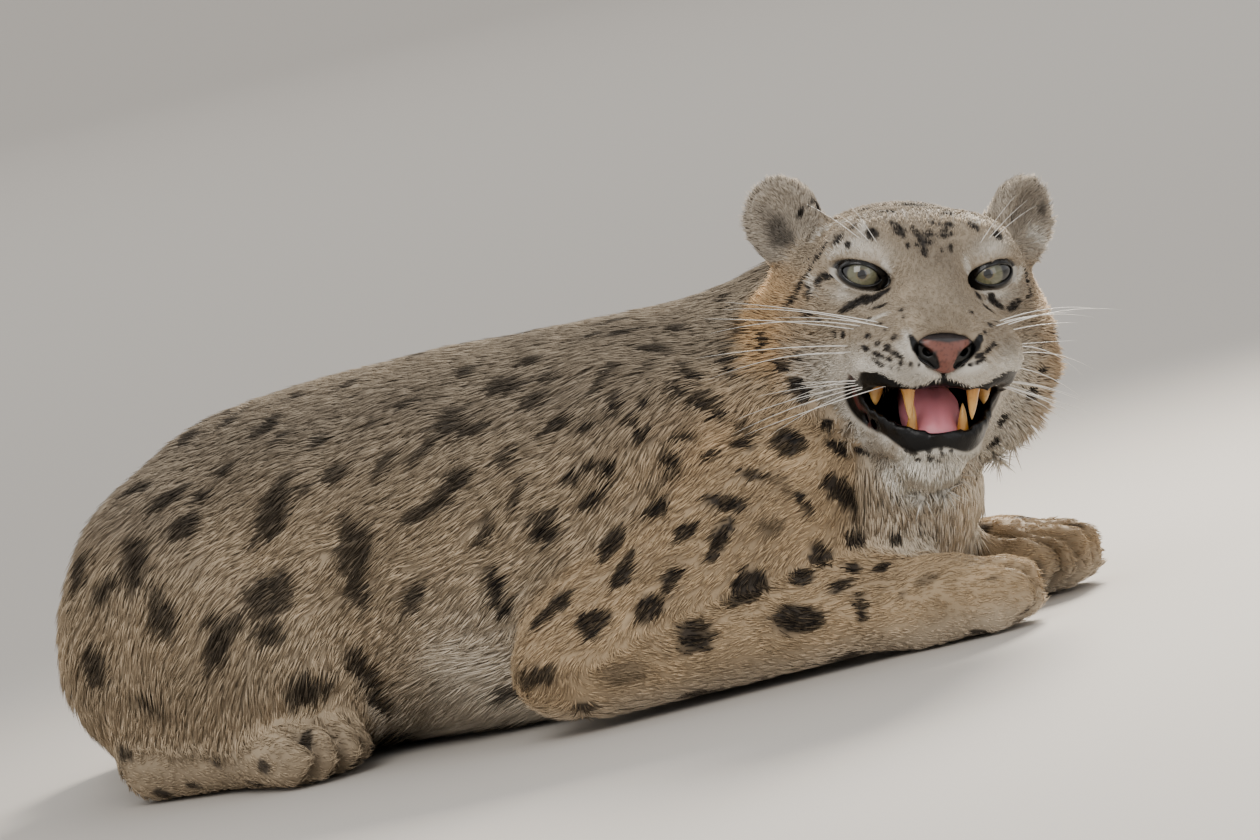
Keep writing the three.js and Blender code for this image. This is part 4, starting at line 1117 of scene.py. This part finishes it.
# Eyes. Wet round balls with a low cornea, pale green-grey irises and small round
# pupils that look into the camera. Each is turned in its socket under its lids.
IRIS_RADIUS = 10.2
PUPIL_RADIUS = 3.0
IRIS_GREEN = np.array(rgb(104, 103, 80))
IRIS_WARM = np.array(rgb(104, 84, 52))
EYE_BLACK = np.array(rgb(9, 7, 6))
eye_finish, _, _, eye_shader, _ = tint_material("eye_finish", 0.12, 400, 0.00002)
eye_shader.inputs["Coat Weight"].default_value = 1.0
eye_shader.inputs["Coat Roughness"].default_value = 0.02
gaze = unit(-np.array(look) @ head_axes)
EYE_ROUND = 64
EYE_RINGS = 44
CORNEA_RISE = 1.7
CORNEA_REACH = 0.66


def ring_faces(rings, around, start=0, capped=False):
    """The faces between rings of points, from the point start on, with end caps if capped."""
    faces = []
    for i in range(rings - 1):
        for j in range(around):
            k = (j + 1) % around
            faces.append((i * around + j, i * around + k, (i + 1) * around + k, (i + 1) * around + j))
    if capped:
        faces.append(tuple(range(around))[::-1])
        faces.append(tuple((rings - 1) * around + j for j in range(around)))
    return [tuple(start + corner for corner in face) for face in faces]


def shell_mesh(name, places, faces):
    """A smooth mesh with its doubles merged and its faces turned outwards."""
    mesh = bpy.data.meshes.new(name)
    mesh.from_pydata([tuple(p) for p in places], [], faces)
    form = bmesh.new()
    form.from_mesh(mesh)
    bmesh.ops.remove_doubles(form, verts=form.verts, dist=1e-7)
    bmesh.ops.recalc_face_normals(form, faces=form.faces)
    form.to_mesh(mesh)
    form.free()
    shade_smooth(mesh)
    return mesh


def places_of(mesh):
    """The points of a mesh as an array."""
    out = np.zeros(len(mesh.vertices) * 3)
    mesh.vertices.foreach_get("co", out)
    return out.reshape(-1, 3)


for side, word in SIDES:
    centre, forward, outward, upward = eye_frame(side)
    across = unit(np.cross(gaze, np.array((0, 0, 1.0))))
    rise = np.cross(across, gaze)
    rows = []
    for i in range(EYE_RINGS + 1):
        lean = math.pi * (i / EYE_RINGS) ** 1.5
        bulge = CORNEA_RISE * max(0, 1 - (lean / CORNEA_REACH) ** 2)
        angles = np.linspace(0, 2 * math.pi, EYE_ROUND, endpoint=False)
        ring = np.outer(np.cos(angles), across) + np.outer(np.sin(angles), rise)
        rows.append(centre + (EYE_RADIUS + bulge) * (ring * math.sin(lean) + gaze * math.cos(lean)))
    places = from_head(np.array(rows)).reshape(-1, 3)
    mesh = shell_mesh("eyeball_" + word, places, ring_faces(EYE_RINGS + 1, EYE_ROUND))
    at = to_head(places_of(mesh)) - centre
    out = np.hypot(at @ across, at @ rise)
    behind = (at @ gaze) < 0
    angle = np.arctan2(at @ rise, at @ across)
    streak = 0.5 + 0.5 * np.sin(23 * angle + 2 * np.sin(5 * angle)) * np.sin(41 * angle + out)
    colour = mixed(np.tile(IRIS_GREEN, (len(at), 1)), IRIS_WARM, ramp(5.2 - out, 0, 2.4) * 0.7)
    shadow = 0.55 * ramp(at @ rise, 0.0, 7.0)
    colour = colour * ((0.72 + 0.38 * streak) * (1 - shadow))[:, None]
    colour = mixed(colour, CHARCOAL * 0.4, ramp(out, IRIS_RADIUS - 1.6, IRIS_RADIUS + 0.2))
    colour = mixed(colour, EYE_BLACK, 1 - ramp(out, PUPIL_RADIUS - 0.3, PUPIL_RADIUS + 0.4))
    past_iris = np.maximum(behind, ramp(out, IRIS_RADIUS, IRIS_RADIUS + 1))
    colour = mixed(colour, EYE_BLACK, past_iris)
    colour_layer(mesh, "tint", colour, np.zeros(len(at)))
    add_piece("eyeball_" + word, mesh, eye_finish, "eye", "eye_" + word)

# Lids. A black wet rim round each almond opening, that lies on the eyeball and runs
# back into the skin; the lower lid has a pale line under its rim.
lid_finish, lid_nodes, lid_links, lid_shader, lid_tint = tint_material("lid_finish", 0.5, 900, 0.0003)
vary_roughness(lid_nodes, lid_links, lid_shader, lid_tint.outputs["Alpha"], 0.75, 0.2)

# Each row of a lid as its scale on the opening's outline, and how far it is raised in mm.
LID_ROWS = [(0.94, -3.0), (0.98, -0.6), (1.00, 0.6), (1.05, 1.3), (1.12, 1.5), (1.20, 1.5), (1.30, 1.3),
            (1.42, 1.0), (1.55, 0.6), (1.70, 0.1), (1.86, -0.8), (2.0, -2.2)]
LID_STEPS = 60
RAY_START = 60
LID_BLACK = np.array(rgb(14, 12, 12))
for side, word in SIDES:
    centre, forward, outward, upward = eye_frame(side)
    rows = []
    for scale, raised in LID_ROWS:
        row = []
        for j in range(LID_STEPS):
            angle = 2 * math.pi * j / LID_STEPS
            cos_a, sin_a = math.cos(angle), math.sin(angle)
            rise = (LID_RISE if sin_a > 0 else LID_DROP) * np.sign(sin_a) * abs(sin_a) ** 1.25
            u = LID_HALF_WIDTH * cos_a * scale
            v = rise * scale + (scale - 1) * 5.0 * sin_a
            on_ball = math.sqrt(max((EYE_RADIUS + 0.5) ** 2 - u * u - v * v, 9.0))
            start = from_head(centre + outward * u + upward * v + forward * RAY_START)
            ray = Vector(-(head_axes @ forward))
            depth_hit = skin_tree.ray_cast(Vector(start), ray, 2 * RAY_START / 1000)[3]
            on_skin = on_ball if depth_hit is None else RAY_START - depth_hit * 1000
            blend_share = float(ramp(np.array(scale), 1.15, 1.95))
            w = on_ball * (1 - blend_share) + on_skin * blend_share
            if 1.12 <= scale < 1.5:
                w = max(w, on_ball - 1.0)
            row.append(centre + outward * u + upward * v + forward * (w + raised))
        rows.append(row)
    places = from_head(np.array(rows)).reshape(-1, 3)
    mesh = shell_mesh("lids_" + word, places, ring_faces(len(LID_ROWS), LID_STEPS))
    at = to_head(places_of(mesh)) - centre
    u, v = at @ outward, at @ upward
    reach = np.hypot(u / LID_HALF_WIDTH, v / np.where(v > 0, LID_RISE + 1.5, LID_DROP + 1.5))
    inner_corner = ramp(-u, 8, 13) * ramp(1.62 - reach, 0, 0.2)
    upper = v > 0
    black = np.where(upper, 1 - ramp(reach, 1.36, 1.50), 1 - ramp(reach, 1.18, 1.28))
    black = np.maximum(black, inner_corner)
    pale = (~upper) * ramp(reach, 1.24, 1.32) * (1 - ramp(reach, 1.48, 1.62)) * (u > -11)
    colour = np.tile(FACE_GREY * 0.66, (len(at), 1))
    colour = mixed(colour, CHARCOAL * 1.3, 0.6 * ramp(1.62 - reach, 0, 0.25))
    colour = mixed(colour, WHITE_FUR * 0.7, 0.7 * pale)
    colour = mixed(colour, LID_BLACK, black)
    colour_layer(mesh, "tint", colour, black)
    add_piece("lids_" + word, mesh, lid_finish, "coat")

# Nose. A leathery pad, pinkish brown in the middle and dark grey above and at the sides, with
# two dented nostrils painted black as the shade in their openings; it stands for the plain nose of the
# solids.
NOSTRIL_DEPTH = 3.2
PAD_GREY = np.array(rgb(52, 48, 49))
PAD_PINK = np.array(rgb(118, 74, 64))
NOSTRIL_SHADE_BLACK = np.array(rgb(6, 5, 5))


def refined(name, node, voxel, rounds):
    """A finer, smoothed copy of a CAD node's shape."""
    form = bmesh.new()
    form.from_mesh(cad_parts[node].data)
    bmesh.ops.remove_doubles(form, verts=form.verts, dist=1e-6)
    mesh = bpy.data.meshes.new(name)
    form.to_mesh(mesh)
    form.free()
    holder = add_object(name + "_form", mesh)
    finer = holder.modifiers.new("finer", "REMESH")
    finer.mode = "VOXEL"
    finer.voxel_size = voxel
    smoother = holder.modifiers.new("smoother", "SMOOTH")
    smoother.iterations = rounds
    smoother.factor = 0.5
    made = with_modifiers(holder)
    bpy.data.objects.remove(holder)
    made.name = name
    shade_smooth(made)
    return made


nose_mesh = refined("nose_pad", "nose", 0.0007, 8)
at = to_head(places_of(nose_mesh))
hole = nostril_amount(at)
move_points(nose_mesh, from_head(at - np.outer(NOSTRIL_DEPTH * hole ** 2, (1.0, 0, 0))))
bar = ramp(16.5 - np.abs(at[:, 1]), 0, 3) * ramp(-32.0 - at[:, 2] - 0.16 * (14 - np.abs(at[:, 1])), 0, 2)
stem = ramp(8.5 - np.abs(at[:, 1]), 0, 3)
pink = bar * np.maximum(stem, ramp(at[:, 2] + 42, 0, 3))
fleck = ramp(smooth_noise(places_of(nose_mesh), 0.003, 8), 0.5, 0.9)
colour = mixed(np.tile(PAD_GREY, (len(at), 1)), PAD_PINK, pink)
colour = mixed(colour, CHARCOAL, 0.35 * fleck)
# Painted shade: the nostril openings are painted black.
colour = mixed(colour, NOSTRIL_SHADE_BLACK, np.clip(hole * 1.5, 0, 1))
colour_layer(nose_mesh, "tint", colour, np.zeros(len(at)))
nose_finish = tint_material("nose_finish", 0.38, 1500, 0.0002)[0]
add_piece("nose_pad", nose_mesh, nose_finish, "nose", "nose")

# Tongue. A wet pink muscle with a shallow groove along its middle, that darkens
# towards the throat; it is a finer copy of the plain tongue of the solids.
TONGUE_GROOVE = 1.6
TONGUE_PINK = np.array(rgb(206, 128, 138))
TONGUE_ROOT = np.array(rgb(130, 52, 58))
tongue_mesh = refined("tongue_form", "tongue", 0.0012, 10)
at = to_head(places_of(tongue_mesh))
sink = np.exp(-(at[:, 1] / 2.6) ** 2) * ramp(at[:, 2], -92, -84) * TONGUE_GROOVE
move_points(tongue_mesh, from_head(at - np.outer(sink, (0, 0, 1))))
colour = np.tile(TONGUE_PINK, (len(at), 1))
colour = mixed(colour, TONGUE_ROOT, ramp(64 - at[:, 0], 0, 24))
colour_layer(tongue_mesh, "tint", colour, np.zeros(len(at)))
tongue_finish, _, _, tongue_shader, _ = tint_material("tongue_finish", 0.3, 2200, 0.0004)
tongue_shader.inputs["Subsurface Weight"].default_value = 0.2
tongue_shader.inputs["Subsurface Radius"].default_value = (0.006, 0.002, 0.001)
add_piece("tongue_form", tongue_mesh, tongue_finish, "tongue", "tongue")

# Teeth. Long curved canines of ochre ivory, darker at the gum, and a broad cheek tooth
# behind each upper one. Each stands for its own plain tooth of the solids. A row has
# the left tooth's root, tip, radius and bend, in mm in the head's frame.
TEETH = {
    "canine_upper": ((97, 22, -54), (101, 20.5, -85), 5.4, 1.8),
    "canine_lower": ((86, 17, -100), (92, 16.5, -74), 4.8, -1.6),
    "premolar_upper": ((66, 36, -54), (67, 36, -75), 7.2, 0.4),
}
TOOTH_RINGS = 22
TOOTH_ROUND = 24
TOOTH_ROOT = np.array(rgb(176, 118, 46))
TOOTH_TIP = np.array(rgb(214, 168, 96))
TOOTH_LINE = np.array(rgb(140, 92, 40))
tooth_finish, _, _, tooth_shader, _ = tint_material("tooth_finish", 0.26, 1200, 0.0001)
tooth_shader.inputs["Coat Weight"].default_value = 0.6
tooth_shader.inputs["Coat Roughness"].default_value = 0.1


def add_tooth(name, root, tip, radius, bend):
    """One curved tooth from its root to its tip, that stands for the node of its name."""
    run = unit(tip - root)
    first = unit(np.cross(run, np.array((0, 1.0, 0))))
    second = np.cross(run, first)
    rows = []
    for i in range(TOOTH_RINGS):
        t = i / (TOOTH_RINGS - 1)
        taper = max(0.02, (1 - t ** 2.2) ** 0.75)
        size = radius * taper * (0.92 + 0.16 * math.sin(math.pi * min(1, t * 2)))
        angles = np.linspace(0, 2 * math.pi, TOOTH_ROUND, endpoint=False)
        ring = np.outer(np.cos(angles) * 1.12, first) + np.outer(np.sin(angles) * 0.9, second)
        middle = root + (tip - root) * t + first * bend * (4 * t * (1 - t))
        rows.append(middle + ring * size)
    places = from_head(np.array(rows)).reshape(-1, 3)
    mesh = shell_mesh(name + "_tooth", places, ring_faces(TOOTH_RINGS, TOOTH_ROUND, capped=True))
    at = to_head(places_of(mesh))
    up_tooth = np.clip((at - root) @ run / np.linalg.norm(tip - root), 0, 1)
    colour = mixed(np.tile(TOOTH_ROOT, (len(at), 1)), TOOTH_TIP, ramp(up_tooth, 0.3, 1.0))
    line = ramp(smooth_noise(places_of(mesh) * np.array((1, 1, 0.2)), 0.0018, 4), 0.4, 1.2)
    colour = mixed(colour, TOOTH_LINE, 0.35 * line)
    colour_layer(mesh, "tint", colour, np.zeros(len(at)))
    add_piece(name + "_tooth", mesh, tooth_finish, "tooth", name)


for kind, (root, tip, radius, bend) in TEETH.items():
    for side, word in SIDES:
        mirror = np.array((1.0, side, 1.0))
        add_tooth(kind + "_" + word, root * mirror, tip * mirror, radius, bend)

# Whiskers. Long white hairs in rows from the whisker pads and a few over each eye,
# swept back and a little down, thick at the root and fine at the tip.
whisker_draw = np.random.default_rng(77)
WHISKER_WHITE = rgb(238, 234, 226)
whisker_finish, whisker_nodes, whisker_links, whisker_shader = principled("whisker_finish", WHISKER_WHITE)
whisker_place = whisker_nodes.new("ShaderNodeTexCoord")
whisker_noise = whisker_nodes.new("ShaderNodeTexNoise")
whisker_noise.inputs["Scale"].default_value = 300
whisker_links.new(whisker_place.outputs["Object"], whisker_noise.inputs["Vector"])
vary_roughness(whisker_nodes, whisker_links, whisker_shader, whisker_noise.outputs["Fac"], 0.3, 0.5)
WHISKERS_IN_ROW = (5, 5, 5, 3)
BROW_WHISKERS = 3
WHISKER_RINGS = 14
WHISKER_ROUND = 5
WHISKER_RADIUS = 0.36
BROW_RADIUS = 0.22
TIP_RADIUS = 0.03


def whisker_rows(start, way, reach, sag, radius):
    """Rings along one curved hair, in the head's frame."""
    rows = []
    way = unit(np.array(way, float))
    first = unit(np.cross(way, np.array((0, 0, 1.0))))
    second = np.cross(way, first)
    angles = np.linspace(0, 2 * math.pi, WHISKER_ROUND, endpoint=False)
    ring = np.outer(np.cos(angles), first) + np.outer(np.sin(angles), second)
    for i in range(WHISKER_RINGS):
        t = i / (WHISKER_RINGS - 1)
        middle = start + way * reach * t + np.array((-0.25, 0, -1.0)) * sag * t * t
        rows.append(middle + ring * (radius * (1 - t) ** 0.8 + TIP_RADIUS))
    return np.array(rows)


whisker_points = []
whisker_faces = []
for side, _ in SIDES:
    hairs = []
    for row, whiskers in enumerate(WHISKERS_IN_ROW):
        for k in range(whiskers):
            start = (98 - 6.5 * k, side * (30 + 3.0 * k), -36 - 6.0 * row + 0.5 * k)
            way = (-0.42 - 0.10 * k + whisker_draw.uniform(-0.1, 0.1), side * 1.0,
                   0.24 - 0.16 * row + whisker_draw.uniform(-0.1, 0.1))
            reach = whisker_draw.uniform(62, 118)
            sag = whisker_draw.uniform(4, 22)
            hairs.append((start, way, reach, sag, WHISKER_RADIUS))
    for k in range(BROW_WHISKERS):
        start = (66 - 3 * k, side * (34 + 5 * k), 30 + 1.0 * k)
        way = (0.1 - 0.2 * k, side * (0.5 + 0.2 * k), 0.8)
        hairs.append((start, way, whisker_draw.uniform(28, 46), 6, BROW_RADIUS))
    for start, way, reach, sag, radius in hairs:
        start = np.array(start, float)
        hit = skin_tree.find_nearest(Vector(from_head(start)))
        start = to_head(np.array(hit[0])[None])[0] - 1.0 * unit(np.array(way, float))
        rows = whisker_rows(start, way, reach, sag, radius)
        whisker_faces += ring_faces(WHISKER_RINGS, WHISKER_ROUND, len(whisker_points), True)
        whisker_points += list(from_head(rows.reshape(-1, 3)))
whisker_mesh = shell_mesh("whiskers", whisker_points, whisker_faces)
add_piece("whiskers", whisker_mesh, whisker_finish, "coat")
